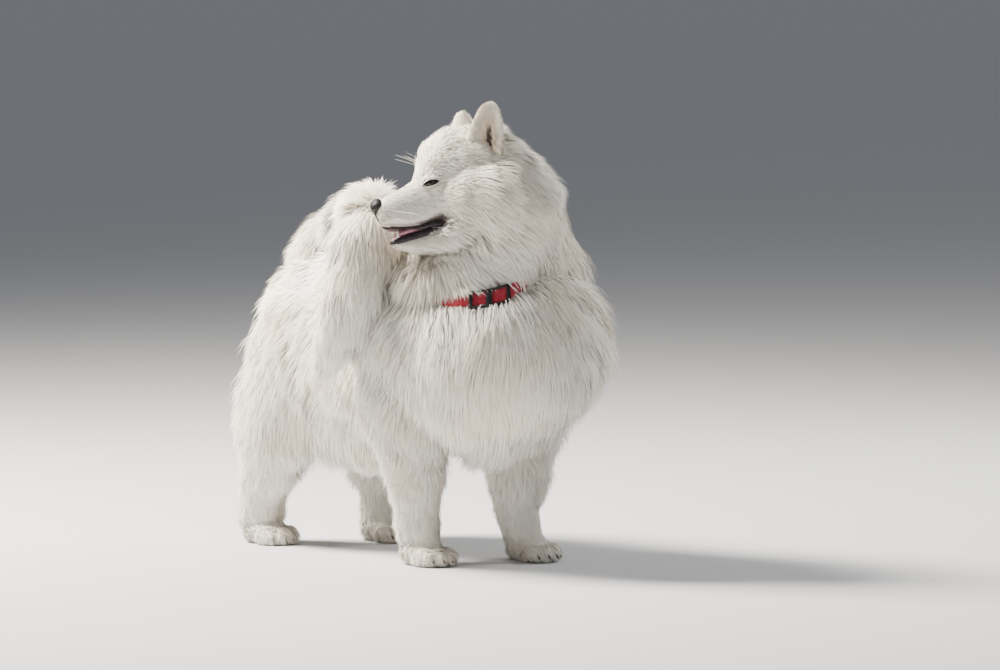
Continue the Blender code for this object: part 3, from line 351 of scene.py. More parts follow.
def pebbled(name, dark, light, patch_scale, cell_scale, depth, wet=0.0, shine=0.5):
    """A finish with the skin grain in its own colours and size, and a wet coat if asked."""
    material, tree, shader = new_finish(name)
    grain = tree.nodes.new("ShaderNodeGroup")
    grain.node_tree = PEBBLED
    feed(grain, {"Dark": (*dark, 1.0), "Light": (*light, 1.0), "Patch Scale": patch_scale,
                 "Cell Scale": cell_scale})
    bump = add_node(tree, "Bump", {
        "Strength": 0.7, "Distance": depth, "Height": grain.outputs["Height"]})
    feed(shader, {
        "Base Color": grain.outputs["Color"], "Roughness": grain.outputs["Roughness"],
        "Normal": bump.outputs["Normal"], "Coat Weight": wet, "Coat Roughness": 0.12,
        "Specular IOR Level": shine})
    return material


flesh = bmesh.new()
draw_rings(flesh, [
    (on_dog(0.0, y, (top + bottom) / 2), wide - COAT_BED, (top - bottom) / 2 - COAT_BED)
    for y, top, bottom, wide in TORSO
], LATERAL, 28)
draw_rings(flesh, [
    (on_dog(x, y, z), wide - COAT_BED, deep - COAT_BED) for x, y, z, wide, deep in NECK
], LATERAL, 28)
for rings, segments, boxy in ((SKULL, 32, 3.2), (JAW, 24, 2.0)):
    draw_rings(flesh, [
        (on_head(f, u), wide - coat, high - coat) for f, u, high, wide, coat in rings
    ], LEFTWARD, segments, FORWARD, boxy)
for side in (-1, 1):
    draw_rings(flesh, [
        (on_head(f, u, side * left), wide, high) for f, u, left, high, wide in CHEEK
    ], LEFTWARD)
    elbow = 0.030 - FORE_FOOT_Y[side]
    draw_rings(flesh, [
        (on_dog(side * out, FORE_FOOT_Y[side] + along + elbow * z / 0.33, z), wide, deep)
        for along, z, out, wide, deep in FORELEG[side]
    ], LATERAL)
    draw_rings(flesh, [
        (on_dog(side * out, HIND_FOOT_Y[side] + along, z), wide, deep)
        for along, z, out, wide, deep in HINDLEG[side]
    ], LATERAL)
    for foot_y in (FORE_FOOT_Y[side], HIND_FOOT_Y[side]):
        lump(flesh, on_dog(side * FOOT_OUT, foot_y - 0.006, 0.023), (0.033, 0.039, 0.024))
        for x, y in TOES:
            lump(flesh, on_dog(side * FOOT_OUT + x, foot_y + y, 0.0155), (0.0118, 0.0250, 0.0150))
draw_rings(flesh, [
    (on_dog(x, y, z), half, half * 0.85) for x, y, z, half in TAIL
], Vector((1.0, 0.25, 0.15)))
hide = pebbled("hide", (0.60, 0.52, 0.46), (0.76, 0.70, 0.64), 26.0, 620.0, 0.0005)
skin = piece_from("skin", flesh, hide)
melt = skin.modifiers.new("melt", "REMESH")
melt.mode = "VOXEL"
melt.voxel_size = 0.0035
settle = skin.modifiers.new("settle", "SMOOTH")
settle.factor = 0.5
settle.iterations = 5
apply_modifiers(skin)
thin = skin.modifiers.new("thin", "DECIMATE")
thin.ratio = 0.45
apply_modifiers(skin)
skin.data.shade_smooth()
skin.data.materials.clear()
skin.data.materials.append(hide)
unwrap(skin)
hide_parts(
    "head", "lower_jaw", "neck", "torso", "tail", "foreleg_left", "foreleg_right",
    "hindleg_left", "hindleg_right", "foreleg_left_paw", "foreleg_right_paw",
    "hindleg_left_paw", "hindleg_right_paw",
)

# Relief sculpted into the hide: a slight brow, the furrow down the middle of the forehead, and a
# low mound round each eye that meets its lids. Nothing of it reaches below the floor.
EYE_SPOT = (-0.1055, 0.0115, 0.0348)
EYE_RADIUS = 0.0115
EYE_AIM, EYE_SLANT = math.radians(64.0), math.radians(-4.0)
LID_DISH = 23.0                   # how fast lids and mound fall back from the front of the globe
MOUND_RADIUS, MOUND_EDGE, MOUND_REACH = 0.021, 0.010, 0.030
HOLLOW_RADIUS, HOLLOW_EDGE, HOLLOW_DEPTH = 0.0085, 0.003, 0.004     # where the globe sits
SOLE_HEIGHT = 0.0030
DIMPLES = [                       # forward, up, left, radius, depth
    (-0.094, 0.018, 0.036, 0.014, 0.0020), (-0.112, 0.040, 0.040, 0.014, -0.0020),
    (-0.104, 0.056, 0.000, 0.016, 0.0020), (-0.126, 0.086, 0.000, 0.020, 0.0030),
    (-0.080, 0.002, 0.036, 0.016, 0.0015), (-0.130, -0.022, 0.060, 0.020, -0.0015),
]


def eye_frame(side):
    """Middle of one eye, and its outward, backward-along-the-lids and upward directions."""
    outward = FORWARD * math.cos(EYE_AIM) + LEFTWARD * side * math.sin(EYE_AIM)
    corner = -FORWARD * math.sin(EYE_AIM) + LEFTWARD * side * math.cos(EYE_AIM)
    back = (corner * math.cos(EYE_SLANT) + CROWN * math.sin(EYE_SLANT)).normalized()
    upward = outward.cross(back).normalized()
    if upward.dot(CROWN) < 0:
        upward = -upward
    centre = on_head(EYE_SPOT[0], EYE_SPOT[1], side * EYE_SPOT[2])
    return centre, outward.normalized(), back, upward


relief = bmesh.new()
relief.from_mesh(skin.data)
for f, u, left, radius, depth in DIMPLES:
    for side in ((-1, 1) if left else (1,)):
        spot = on_head(f, u, side * left)
        for v in relief.verts:
            near = 1.0 - (v.co - spot).length / (radius * 1.4)
            if near > 0:
                v.co -= v.normal * depth * near * near * (3 - 2 * near)
for side in (-1, 1):
    centre, outward, back, upward = eye_frame(side)
    for v in relief.verts:
        off = v.co - centre
        out, gap = off.dot(outward), math.hypot(off.dot(back) / 1.25, off.dot(upward))
        if out > 0 and gap < MOUND_RADIUS and off.length < MOUND_REACH:
            near = min(1.0, (MOUND_RADIUS - gap) / MOUND_EDGE)
            opening = math.hypot(off.dot(back) / 1.7, off.dot(upward))
            inside = min(1.0, max(0.0, (HOLLOW_RADIUS - opening) / HOLLOW_EDGE))
            sunk = 0.0006 + HOLLOW_DEPTH * inside
            rise = EYE_RADIUS - sunk - LID_DISH * gap * gap - out
            v.co += outward * rise * near * near * (3 - 2 * near)
for v in relief.verts:
    v.co.z = max(v.co.z, SOLE_HEIGHT)
relief.to_mesh(skin.data)
relief.free()
skin.data.shade_smooth()

# Collar strap. A flat red woven nylon strap round the neck under the ruff; the coat hides most of
# it. Its inner side is laid against the skin, felt at even steps round the neck.
COLLAR_CENTRE = on_dog(0.0, -0.037, 0.544)
COLLAR_LEAN = 0.085 / 0.145       # fall of the collar's plane over the neck's half width
COLLAR_LOW_SIDE = math.radians(-155.0)
COLLAR_RADIUS = 0.13              # about the strap's distance from the neck's middle
STRAP_STEPS, BEARINGS = 160, 72   # steps of the strap, and bearings at which the skin is felt
FELT_EDGE = 0.014                 # how far over and under its middle the skin is felt
STRAP_SECTION = (                 # out from its middle, up
    (-0.0012, -0.0105), (0.0012, -0.0105), (0.0019, -0.0095), (0.0019, 0.0),
    (0.0019, 0.0095), (0.0012, 0.0105), (-0.0012, 0.0105), (-0.0014, 0.0),
)
neck_skin = bmesh.new()
neck_skin.from_mesh(skin.data)
NECK_SKIN = BVHTree.FromBMesh(neck_skin)
neck_skin.free()


def climb_at(bearing):
    """How steeply the collar's plane rises towards a bearing."""
    return -COLLAR_LEAN * math.cos(bearing - COLLAR_LOW_SIDE)


def snug_reach(bearing, up):
    """How far out the skin lies at a bearing and a height on the strap."""
    way = Vector((math.cos(bearing), math.sin(bearing), climb_at(bearing)))
    start = COLLAR_CENTRE + UPRIGHT * up + way * 0.02
    hit = NECK_SKIN.ray_cast(start, way.normalized())[0]
    return (Vector(hit[:2]) - Vector(COLLAR_CENTRE[:2])).length


strap_reach = np.array([
    [snug_reach(math.tau * k / BEARINGS, up) for up in (-FELT_EDGE, 0.0, FELT_EDGE)]
    for k in range(BEARINGS)
])
for _ in range(3):
    before, after = np.roll(strap_reach, 1, 0), np.roll(strap_reach, -1, 0)
    strap_reach = np.maximum(strap_reach, (before + strap_reach + after) / 3)
low_reach, high_reach = strap_reach[:, 0], strap_reach[:, 2]
strap_reach = np.stack([
    low_reach, strap_reach.max(1), np.maximum(high_reach, low_reach - 0.010)], axis=1)


def collar_point(bearing, lift=0.0, up=0.0):
    """A place on the strap: its bearing, and how far out from it and up across it."""
    at = (bearing / math.tau * BEARINGS) % BEARINGS
    near, share = int(at), at - int(at)
    low, _, high = strap_reach[near] * (1 - share) + strap_reach[(near + 1) % BEARINGS] * share
    middle = (low + high) / 2 + 0.0035
    reach = middle + (high - low) * up / (2 * FELT_EDGE)
    way = Vector((math.cos(bearing), math.sin(bearing), 0.0))
    return COLLAR_CENTRE + way * (reach + lift) + UPRIGHT * (climb_at(bearing) * middle + up)


strap_bm = bmesh.new()
strap_rings = []
for out, up in STRAP_SECTION:
    ring = bmesh.ops.create_circle(strap_bm, segments=STRAP_STEPS, radius=1.0)["verts"]
    for v in ring:
        v.co = collar_point(math.atan2(v.co.y, v.co.x), out, up)
    strap_rings.append(ring_edges(ring))
join_rings(strap_bm, strap_rings + strap_rings[:1], close=False)


def paint(piece, name, values):
    """Store a value at each point of a piece, for its finish to read."""
    piece.data.attributes.new(name, "FLOAT", "POINT").data.foreach_set("value", values)


def painted(tree, name):
    """The value that a piece carries at each point."""
    return add_node(tree, "Attribute", {}, attribute_name=name).outputs["Fac"]


webbing, web_tree, web_shader = new_finish("red_webbing")
strap = piece_from("strap", strap_bm, webbing)
bearings = [
    math.atan2(v.co.y - COLLAR_CENTRE.y, v.co.x - COLLAR_CENTRE.x) for v in strap.data.vertices]
paint(strap, "along", [bearing * COLLAR_RADIUS for bearing in bearings])
paint(strap, "across", [
    v.co.z - collar_point(bearing).z for v, bearing in zip(strap.data.vertices, bearings)])
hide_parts("collar_strap")
web_place = add_node(web_tree, "CombineXYZ", {
    "X": painted(web_tree, "along"), "Y": painted(web_tree, "across")}).outputs["Vector"]
weft = add_node(web_tree, "TexBrick", {
    "Vector": web_place, "Scale": 1.0, "Brick Width": 0.0022, "Row Height": 0.0011,
    "Mortar Size": 0.00016, "Mortar Smooth": 0.8, "Color1": (0.62, 0.018, 0.050, 1.0),
    "Color2": (0.50, 0.012, 0.036, 1.0), "Mortar": (0.20, 0.004, 0.014, 1.0)})
web_wear = add_node(web_tree, "TexNoise", {"Vector": web_place, "Scale": 60.0})
worn = add_node(web_tree, "MapRange", {
    "Value": web_wear.outputs["Fac"], "From Min": 0.52, "From Max": 0.75, "To Max": 0.6})
faded = add_node(web_tree, "Mix", {
    "Factor": worn.outputs["Result"], "A": weft.outputs["Color"], "B": (0.70, 0.07, 0.12, 1.0)},
    data_type="RGBA")
web_bump = add_node(web_tree, "Bump", {
    "Strength": 0.8, "Distance": 0.0005, "Height": weft.outputs["Fac"]}, invert=True)
feed(web_shader, {
    "Base Color": faded.outputs["Result"], "Normal": web_bump.outputs["Normal"],
    "Roughness": 0.7, "Sheen Weight": 0.3})

# Buckle. A black moulded slide with two windows and a middle bar; the red strap shows through the
# windows. It sits on the throat and leans with the strap.
BUCKLE_BEARING = math.radians(-128.0)
BUCKLE_COLUMNS = (-0.0275, -0.0225, -0.0042, 0.0042, 0.0225, 0.0275)
BUCKLE_LEVELS = (-0.0150, -0.0112, 0.0112, 0.0150)
BUCKLE_THICKNESS = 0.0050


def round_off(bm, edges, radius, steps):
    """Round some edges of a moulded piece."""
    bmesh.ops.bevel(
        bm, geom=edges, offset=radius, offset_type="OFFSET", segments=steps, profile=0.5,
        affect="EDGES", material=-1)


buckle_bm = bmesh.new()
bmesh.ops.create_grid(buckle_bm, x_segments=5, y_segments=3, size=1.0)
for v in buckle_bm.verts:
    column, level = round((v.co.x + 1) / 2 * 5), round((v.co.y + 1) / 2 * 3)
    v.co = (BUCKLE_COLUMNS[column], BUCKLE_LEVELS[level], 0.0)
windows = []
for face in buckle_bm.faces:
    middle = face.calc_center_median()
    if abs(middle.y) < 0.005 and 0.006 < abs(middle.x) < 0.02:
        windows.append(face)
bmesh.ops.delete(buckle_bm, geom=windows, context="FACES")
raised = bmesh.ops.extrude_face_region(buckle_bm, geom=list(buckle_bm.faces))["geom"]
bmesh.ops.translate(
    buckle_bm, verts=[g for g in raised if isinstance(g, bmesh.types.BMVert)],
    vec=(0, 0, BUCKLE_THICKNESS))
bmesh.ops.recalc_face_normals(buckle_bm, faces=buckle_bm.faces)
round_off(buckle_bm, [e for e in buckle_bm.edges if all(
    abs(abs(v.co.x) - BUCKLE_COLUMNS[-1]) < 1e-6 and abs(abs(v.co.y) - BUCKLE_LEVELS[-1]) < 1e-6
    for v in e.verts
)], 0.0045, 4)
round_off(buckle_bm, [
    e for e in buckle_bm.edges if len(e.link_faces) == 2 and e.calc_face_angle(0.0) > 0.9
], 0.0011, 3)
long_edges = [e for e in buckle_bm.edges if e.calc_length() > 0.009]
bmesh.ops.subdivide_edges(buckle_bm, edges=long_edges, cuts=3, use_grid_fill=True)
for v in buckle_bm.verts:
    across, up, out = v.co
    v.co = collar_point(BUCKLE_BEARING + across / COLLAR_RADIUS, 0.0030 + out, up)
buckle = piece_from("buckle", buckle_bm, pebbled(
    "buckle_plastic", (0.008, 0.008, 0.009), (0.020, 0.020, 0.022), 90.0, 1500.0, 0.00012, 0.0, 0.25))
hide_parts("collar_buckle")

# Eyes. Each is a wet dark-brown globe with a black pupil, set deep behind black-rimmed lids that
# slant up towards the ears.
SIDE_NAME = {-1: "right", 1: "left"}
LID_HALF_WIDTH, LID_OVER, LID_UNDER = 0.0132, 0.0052, 0.0042     # half width, height over and under
LID_RINGS = (                     # growth of the opening, height over the globe, how round
    (0.60, -0.0045, 0.0), (0.88, -0.0018, 0.0), (0.96, 0.0006, 0.0), (1.03, 0.0014, 0.0),
    (1.11, 0.0013, 0.0), (1.17, 0.0013, 0.1), (1.28, 0.0002, 0.35), (1.44, -0.0022, 0.7),
    (1.66, -0.0045, 1.0),
)
RIM_RINGS = 4                     # the first rings are bare black rim, and the others grow hair
eye_gloss, eye_tree, eye_shader = new_finish("eye_gloss")
lid_leather = pebbled(
    "lid_leather", (0.010, 0.008, 0.008), (0.035, 0.026, 0.026), 220.0, 1400.0, 0.00025, 0.15, 0.25)
lid_fur = pebbled("lid_fur", (0.72, 0.64, 0.58), (0.86, 0.82, 0.76), 200.0, 1500.0, 0.0004)
eyelids = {}
for side in (-1, 1):
    centre, outward, back, upward = eye_frame(side)
    turn = placing(back, upward, outward, centre)
    globe_bm = bmesh.new()
    bmesh.ops.create_uvsphere(globe_bm, u_segments=48, v_segments=32, radius=EYE_RADIUS)
    for v in globe_bm.verts:
        off = math.acos(max(-1.0, min(1.0, v.co.z / EYE_RADIUS)))
        v.co *= 1.0 + 0.05 * max(0.0, 1 - off / 0.62) ** 2
    bmesh.ops.transform(globe_bm, matrix=turn, verts=globe_bm.verts)
    globe = piece_from("eye_globe_" + SIDE_NAME[side], globe_bm, eye_gloss)
    paint(globe, "from_pupil", [
        (v.co - centre).normalized().angle(outward) / math.pi for v in globe.data.vertices])
    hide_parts("eye_left" if side > 0 else "eye_right")
    lid_bm = bmesh.new()
    lid_rings = []
    for grow, lift, soft in LID_RINGS:
        ring = bmesh.ops.create_circle(lid_bm, segments=48, radius=1.0)["verts"]
        for v in ring:
            c, s = v.co.x, v.co.y
            high = LID_OVER if s > 0 else LID_UNDER
            pointed = math.copysign(abs(s) ** 1.4, s)
            x = LID_HALF_WIDTH * c * grow * (1 - 0.25 * soft)
            y = (high * (pointed * (1 - soft) + s * soft) * (grow + 0.7 * soft)) + 0.0008 * c
            v.co = turn @ Vector((x, y, EYE_RADIUS + lift - LID_DISH * (x * x + y * y)))
        lid_rings.append(ring_edges(ring))
    for k, band in enumerate(join_rings(lid_bm, lid_rings, close=False)):
        for face in band:
            face.material_index = 1 if k >= RIM_RINGS else 0
    lids = piece_from("lids_" + SIDE_NAME[side], lid_bm, lid_leather, lid_fur)
    if sum(p.normal.dot(Vector(p.center) - centre) for p in lids.data.polygons) < 0:
        lids.data.flip_normals()
    unwrap(lids)
    eyelids[side] = lids


def blend(tree, factor, *stops):
    """A colour that changes along stops, each with its place and its tint."""
    ramp = add_node(tree, "ValToRGB", {"Fac": factor})
    elements = ramp.color_ramp.elements
    elements[0].position, elements[1].position = stops[0][0], stops[-1][0]
    for at, _ in stops[1:-1]:
        elements.new(at)
    for element, (_, tint) in zip(elements, stops):
        element.color = (*tint, 1.0)
    return ramp.outputs["Color"]


eye_place = add_node(eye_tree, "TexCoord", {}).outputs["Object"]
iris_threads = add_node(eye_tree, "TexNoise", {"Vector": eye_place, "Scale": 900.0, "Detail": 3.0})
thread_shift = add_node(eye_tree, "Math", {
    0: iris_threads.outputs["Fac"], 1: 0.05, 2: painted(eye_tree, "from_pupil")},
    operation="MULTIPLY_ADD")
feed(eye_shader, {
    "Base Color": blend(
        eye_tree, thread_shift.outputs["Value"], (0.105, (0.001, 0.001, 0.001)),
        (0.13, (0.014, 0.006, 0.003)), (0.20, (0.024, 0.010, 0.005)),
        (0.275, (0.012, 0.006, 0.004)), (0.30, (0.004, 0.003, 0.003)),
        (0.37, (0.04, 0.025, 0.020))),
    "Roughness": 0.22, "Coat Weight": 0.5, "Coat Roughness": 0.03, "Specular IOR Level": 0.2})

# Nose. Black leather, cool grey where the light catches its pebbled top, with comma-shaped
# nostrils and a furrow that runs down to the upper lip.
nose_leather = pebbled(
    "nose_leather", (0.003, 0.003, 0.004), (0.013, 0.012, 0.014), 160.0, 950.0, 0.0007, 0.05, 0.2)
nose_bm = bmesh.new()
bmesh.ops.create_icosphere(nose_bm, subdivisions=5, radius=1.0)
for v in nose_bm.verts:
    f, u, left = v.co.x, v.co.y, v.co.z
    front = max(0.0, f)
    f = f * (1 - 0.10 * max(0.0, u)) - 0.10 * front * abs(left)
    narrow = 1.0 - 0.22 * max(0.0, -u) - 0.10 * max(0.0, -f)
    u = u * (0.98 if u > 0 else 1.06)
    f -= 0.16 * math.exp(-(left / 0.10) ** 2) * front * max(0.0, 0.75 - u)
    for edge in (-1, 1):
        across, rise = left - edge * 0.46, u + 0.16
        hole = math.exp(-(across / 0.20) ** 2 - (rise / 0.17) ** 2)
        slit = math.exp(-((abs(left) - 0.72) / 0.16) ** 2 - ((u + 0.34) / 0.09) ** 2) * 0.5
        f -= (0.46 * hole + 0.30 * slit) * front
        wing = math.exp(-((abs(left) - 0.62) / 0.22) ** 2 - ((u - 0.06) / 0.22) ** 2)
        f += 0.05 * wing * front
    v.co = on_head(-0.0115 + 0.0125 * f, -0.0020 + 0.0125 * u, 0.0165 * left * narrow)
nose = piece_from("nose_leather", nose_bm, nose_leather)
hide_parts("nose")
furrow_bm = bmesh.new()
draw_rings(furrow_bm, [
    (on_head(-0.0045, -0.0110), 0.0026, 0.0016), (on_head(-0.0050, -0.0180), 0.0017, 0.0014),
    (on_head(-0.0065, -0.0255), 0.0014, 0.0013), (on_head(-0.0105, -0.0330), 0.0020, 0.0016),
], LEFTWARD, 12)
furrow = piece_from("lip_furrow", furrow_bm, nose_leather)

# Mouth. The lips are black, thin in front and thick and scalloped towards the corner, where they
# meet. Between them lie a mauve tongue, pink gums and the small lower front teeth with two fangs.
LIP_WAVE = 900.0                  # the scallops of the lips, in radians for each metre
GUM_LINE = -0.0590                # height of the gums' edge, where the teeth stand
lip_leather = pebbled(
    "lip_leather", (0.006, 0.004, 0.006), (0.030, 0.019, 0.025), 180.0, 1100.0, 0.0005, 0.15, 0.2)
UPPER_LIP = [                     # forward, up, left, half thickness, half height
    (-0.0110, -0.0340, 0.0000, 0.0020, 0.0012), (-0.0160, -0.0370, 0.0105, 0.0022, 0.0013),
    (-0.0230, -0.0405, 0.0160, 0.0022, 0.0013), (-0.0380, -0.0445, 0.0210, 0.0022, 0.0014),
    (-0.0500, -0.0470, 0.0240, 0.0023, 0.0017), (-0.0620, -0.0490, 0.0268, 0.0026, 0.0028),
    (-0.0740, -0.0490, 0.0295, 0.0031, 0.0044), (-0.0860, -0.0485, 0.0322, 0.0033, 0.0050),
    (-0.0970, -0.0495, 0.0350, 0.0033, 0.0048), (-0.1050, -0.0530, 0.0368, 0.0026, 0.0032),
]
LOWER_LIP = [
    (-0.0178, -0.0632, 0.0000, 0.0024, 0.0028), (-0.0200, -0.0632, 0.0080, 0.0026, 0.0036),
    (-0.0290, -0.0630, 0.0135, 0.0027, 0.0050), (-0.0440, -0.0622, 0.0190, 0.0028, 0.0056),
    (-0.0580, -0.0613, 0.0228, 0.0030, 0.0058), (-0.0700, -0.0604, 0.0258, 0.0032, 0.0058),
    (-0.0820, -0.0592, 0.0292, 0.0033, 0.0056), (-0.0940, -0.0576, 0.0330, 0.0032, 0.0050),
    (-0.1040, -0.0556, 0.0360, 0.0026, 0.0034),
]


def in_mouth(forward, up, left=0.0):
    """A place of the mouth, which slopes down a little towards the corners."""
    return on_head(forward, up - 0.0042 - 0.045 * max(0.0, -forward - 0.045), left)


def resampled(rows, count):
    """The same rows at evenly spaced steps, run through by a smooth curve."""
    rows = np.array(rows)
    ends = np.vstack([2 * rows[0] - rows[1], rows, 2 * rows[-1] - rows[-2]])
    made = []
    for at in np.linspace(0, len(rows) - 1, count):
        k = min(int(at), len(rows) - 2)
        t = at - k
        a, b, c, d = ends[k:k + 4]
        bent, twisted = 2 * a - 5 * b + 4 * c - d, 3 * b - a - 3 * c + d
        made.append(0.5 * (2 * b + (c - a) * t + bent * t * t + twisted * t ** 3))
    return made


def lip(name, rows, node, scallop):
    """One lip, run from the right corner round the front to the left corner."""
    rows = resampled(rows, 44)
    line = [(f, u, -left, thick, high) for f, u, left, thick, high in rows[:0:-1]]
    line += [tuple(r) for r in rows]
    bm = bmesh.new()
    loops = []
    for k, (f, u, left, thick, high) in enumerate(line):
        ahead, behind = line[min(k + 1, len(line) - 1)], line[max(k - 1, 0)]
        along = (in_mouth(*ahead[:3]) - in_mouth(*behind[:3])).normalized()
        out = along.cross(CROWN).normalized()
        up = out.cross(along).normalized()
        wave = abs(f) * LIP_WAVE
        bumpy = 1.0 + scallop * math.sin(wave) * min(1.0, abs(f) / 0.06)
        uneven = 1 + scallop * 0.5 * math.sin(wave + 1)
        fade = min(1.0, 0.35 + 0.25 * min(k, len(line) - 1 - k))
        place = placing(
            out * thick * fade * bumpy, up * high * fade * uneven, along, in_mouth(f, u, left))
        ring = bmesh.ops.create_circle(bm, segments=14, radius=1.0, matrix=place)["verts"]
        loops.append(ring_edges(ring))
    join_rings(bm, loops)
    piece = piece_from(name, bm, lip_leather)
    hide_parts(node)


lip("upper_lip", UPPER_LIP, "lip_upper", 0.10)
lip("lower_lip", LOWER_LIP, "lip_lower", 0.16)

TONGUE = [                        # forward, up, half width, half height
    (-0.112, -0.0540, 0.0220, 0.0050), (-0.090, -0.0530, 0.0230, 0.0056),
    (-0.070, -0.0522, 0.0222, 0.0060), (-0.052, -0.0520, 0.0200, 0.0058),
    (-0.038, -0.0528, 0.0165, 0.0050), (-0.028, -0.0545, 0.0110, 0.0040),
    (-0.0235, -0.0560, 0.0045, 0.0022),
]
tongue_bm = bmesh.new()
draw_rings(tongue_bm, [
    (in_mouth(f, u), wide, high) for f, u, wide, high in resampled(TONGUE, 30)
], LEFTWARD, 28)
for v in tongue_bm.verts:
    off = v.co - NOSE_TIP
    left, up = off.dot(LEFTWARD), off.dot(CROWN)
    if up > -0.0540:
        v.co -= CROWN * 0.0022 * math.exp(-(left / 0.0035) ** 2)
tongue = piece_from("tongue_flesh", tongue_bm, pebbled(
    "tongue_flesh", (0.42, 0.17, 0.23), (0.60, 0.30, 0.36), 120.0, 1300.0, 0.0004, 0.6))
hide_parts("tongue")

HALF_GUM = [                      # from the back to the front: forward, up, left, thickness, height
    (-0.070, -0.0625, 0.0215, 0.003, 0.005), (-0.048, -0.0620, 0.0170, 0.0032, 0.0052),
    (-0.032, -0.0615, 0.0120, 0.0034, 0.0050), (-0.0245, -0.0610, 0.0060, 0.0034, 0.0048),
]
GUM = [(f, u, -left, thick, high) for f, u, left, thick, high in HALF_GUM]
GUM += [(-0.0230, -0.0610, 0.0, 0.0034, 0.0048)] + HALF_GUM[::-1]
gum_bm = bmesh.new()
draw_rings(gum_bm, [
    (in_mouth(f, u, left), thick, high) for f, u, left, thick, high in resampled(GUM, 40)
], FORWARD, 12)
gum = piece_from("lower_gum", gum_bm, pebbled(
    "gum_flesh", (0.50, 0.24, 0.27), (0.68, 0.40, 0.42), 110.0, 1000.0, 0.0004, 0.6))

palate_bm = bmesh.new()
draw_rings(palate_bm, [
    (in_mouth(f, u), wide, high) for f, u, wide, high in (
        (-0.020, -0.0400, 0.006, 0.004), (-0.040, -0.0440, 0.013, 0.005),
        (-0.070, -0.0480, 0.019, 0.006), (-0.100, -0.0520, 0.026, 0.010),
        (-0.120, -0.0520, 0.026, 0.010))
], LEFTWARD, 24)
palate = piece_from("palate", palate_bm, pebbled(
    "palate_flesh", (0.05, 0.02, 0.026), (0.14, 0.06, 0.075), 120.0, 800.0, 0.0005, 0.4))

TEETH = [(-0.0300, 0.0112, 0.0029, 0.0135)]      # forward, left, radius, height: fang, then incisors
TEETH += [(-0.0238 - 0.0007 * k * k, 0.0031 * k, 0.0015, 0.0062) for k in range(3)]
teeth_bm = bmesh.new()
for f, left, radius, high in TEETH:
    for side in ((-1, 1) if left else (1,)):
        crown = bmesh.ops.create_cone(
            teeth_bm, cap_ends=True, segments=14, radius1=radius, radius2=radius * 0.28,
            depth=high)["verts"]
        tall = [e for e in {e for v in crown for e in v.link_edges}
                if abs(e.verts[0].co.z - e.verts[1].co.z) > high / 2]
        bmesh.ops.subdivide_edges(teeth_bm, edges=tall, cuts=4)
        base = in_mouth(f, GUM_LINE, side * left)
        for v in [v for v in teeth_bm.verts if not v.tag]:
            rise = v.co.z / high + 0.5
            belly = 1.0 + 0.25 * math.sin(math.pi * min(1.0, rise * 1.3))
            ahead = v.co.x * belly * 0.85 - rise * rise * high * 0.10
            out = v.co.y * belly + side * rise * high * 0.14 * (left > 0.005)
            v.co = base + CROWN * (rise * high) + FORWARD * ahead + LEFTWARD * out
            v.tag = True
piece_from("lower_teeth", teeth_bm, pebbled(
    "enamel", (0.74, 0.66, 0.52), (0.88, 0.84, 0.76), 300.0, 400.0, 0.0001, 0.6))

# Ears. Upright and thick, with rounded tips; the flap curls round a hollow that faces outwards. The
# back is covered in short coat, and long silky hair grows across the hollow.
EAR_ROOT, EAR_TIP = (-0.206, 0.046, 0.050), (-0.228, 0.111, 0.064)
FAR_EAR_TURN = 0.024              # the right ear is pricked further forward
EAR_AIM = math.radians(68.0)
EAR_ROWS = [                      # share of the height, half width, thickness
    (-0.42, 0.0270, 0.0130), (-0.2, 0.0280, 0.0130), (0.0, 0.0275, 0.0120), (0.3, 0.0262, 0.0112),
    (0.58, 0.0222, 0.0095), (0.8, 0.0162, 0.0075), (0.93, 0.0108, 0.0058), (1.0, 0.0045, 0.0035),
]
EAR_CUP = 0.020
ears = {}


def ear_frame(side):
    """Root, tip, and the upward, facing and across directions of one ear."""
    turned = FAR_EAR_TURN if side < 0 else 0.0
    root = on_head(EAR_ROOT[0] + turned / 2, EAR_ROOT[1], side * EAR_ROOT[2])
    tip = on_head(EAR_TIP[0] + turned, EAR_TIP[1], side * EAR_TIP[2])
    upward = (tip - root).normalized()
    facing = FORWARD * math.cos(EAR_AIM) + LEFTWARD * side * math.sin(EAR_AIM)
    facing = (facing - upward * facing.dot(upward)).normalized()
    return root, tip, upward, facing, upward.cross(facing)


EAR_SLIT = ((-0.2090, 0.0360), (-0.2190, 0.0710))     # forward and up of its ends


def from_slit(places):
    """Distance of places on the head from the opening of the ear on their side, painted dark as
    shade, and how far forward and up of its lower end they lie."""
    off = places - np.array(NOSE_TIP)
    left = off @ np.array(LEFTWARD)
    ahead = off @ np.array(FORWARD) - np.where(left < 0, FAR_EAR_TURN * 0.6, 0.0)
    spot = np.stack([ahead, off @ np.array(CROWN)], axis=1)
    low, high = (np.array(end) for end in EAR_SLIT)
    share = np.clip((spot - low) @ (high - low) / ((high - low) @ (high - low)), 0.0, 1.0)
    gap = spot - low - share[:, None] * (high - low)
    return np.where(np.abs(left) > 0.03, np.linalg.norm(gap, axis=1), 1.0), spot - low


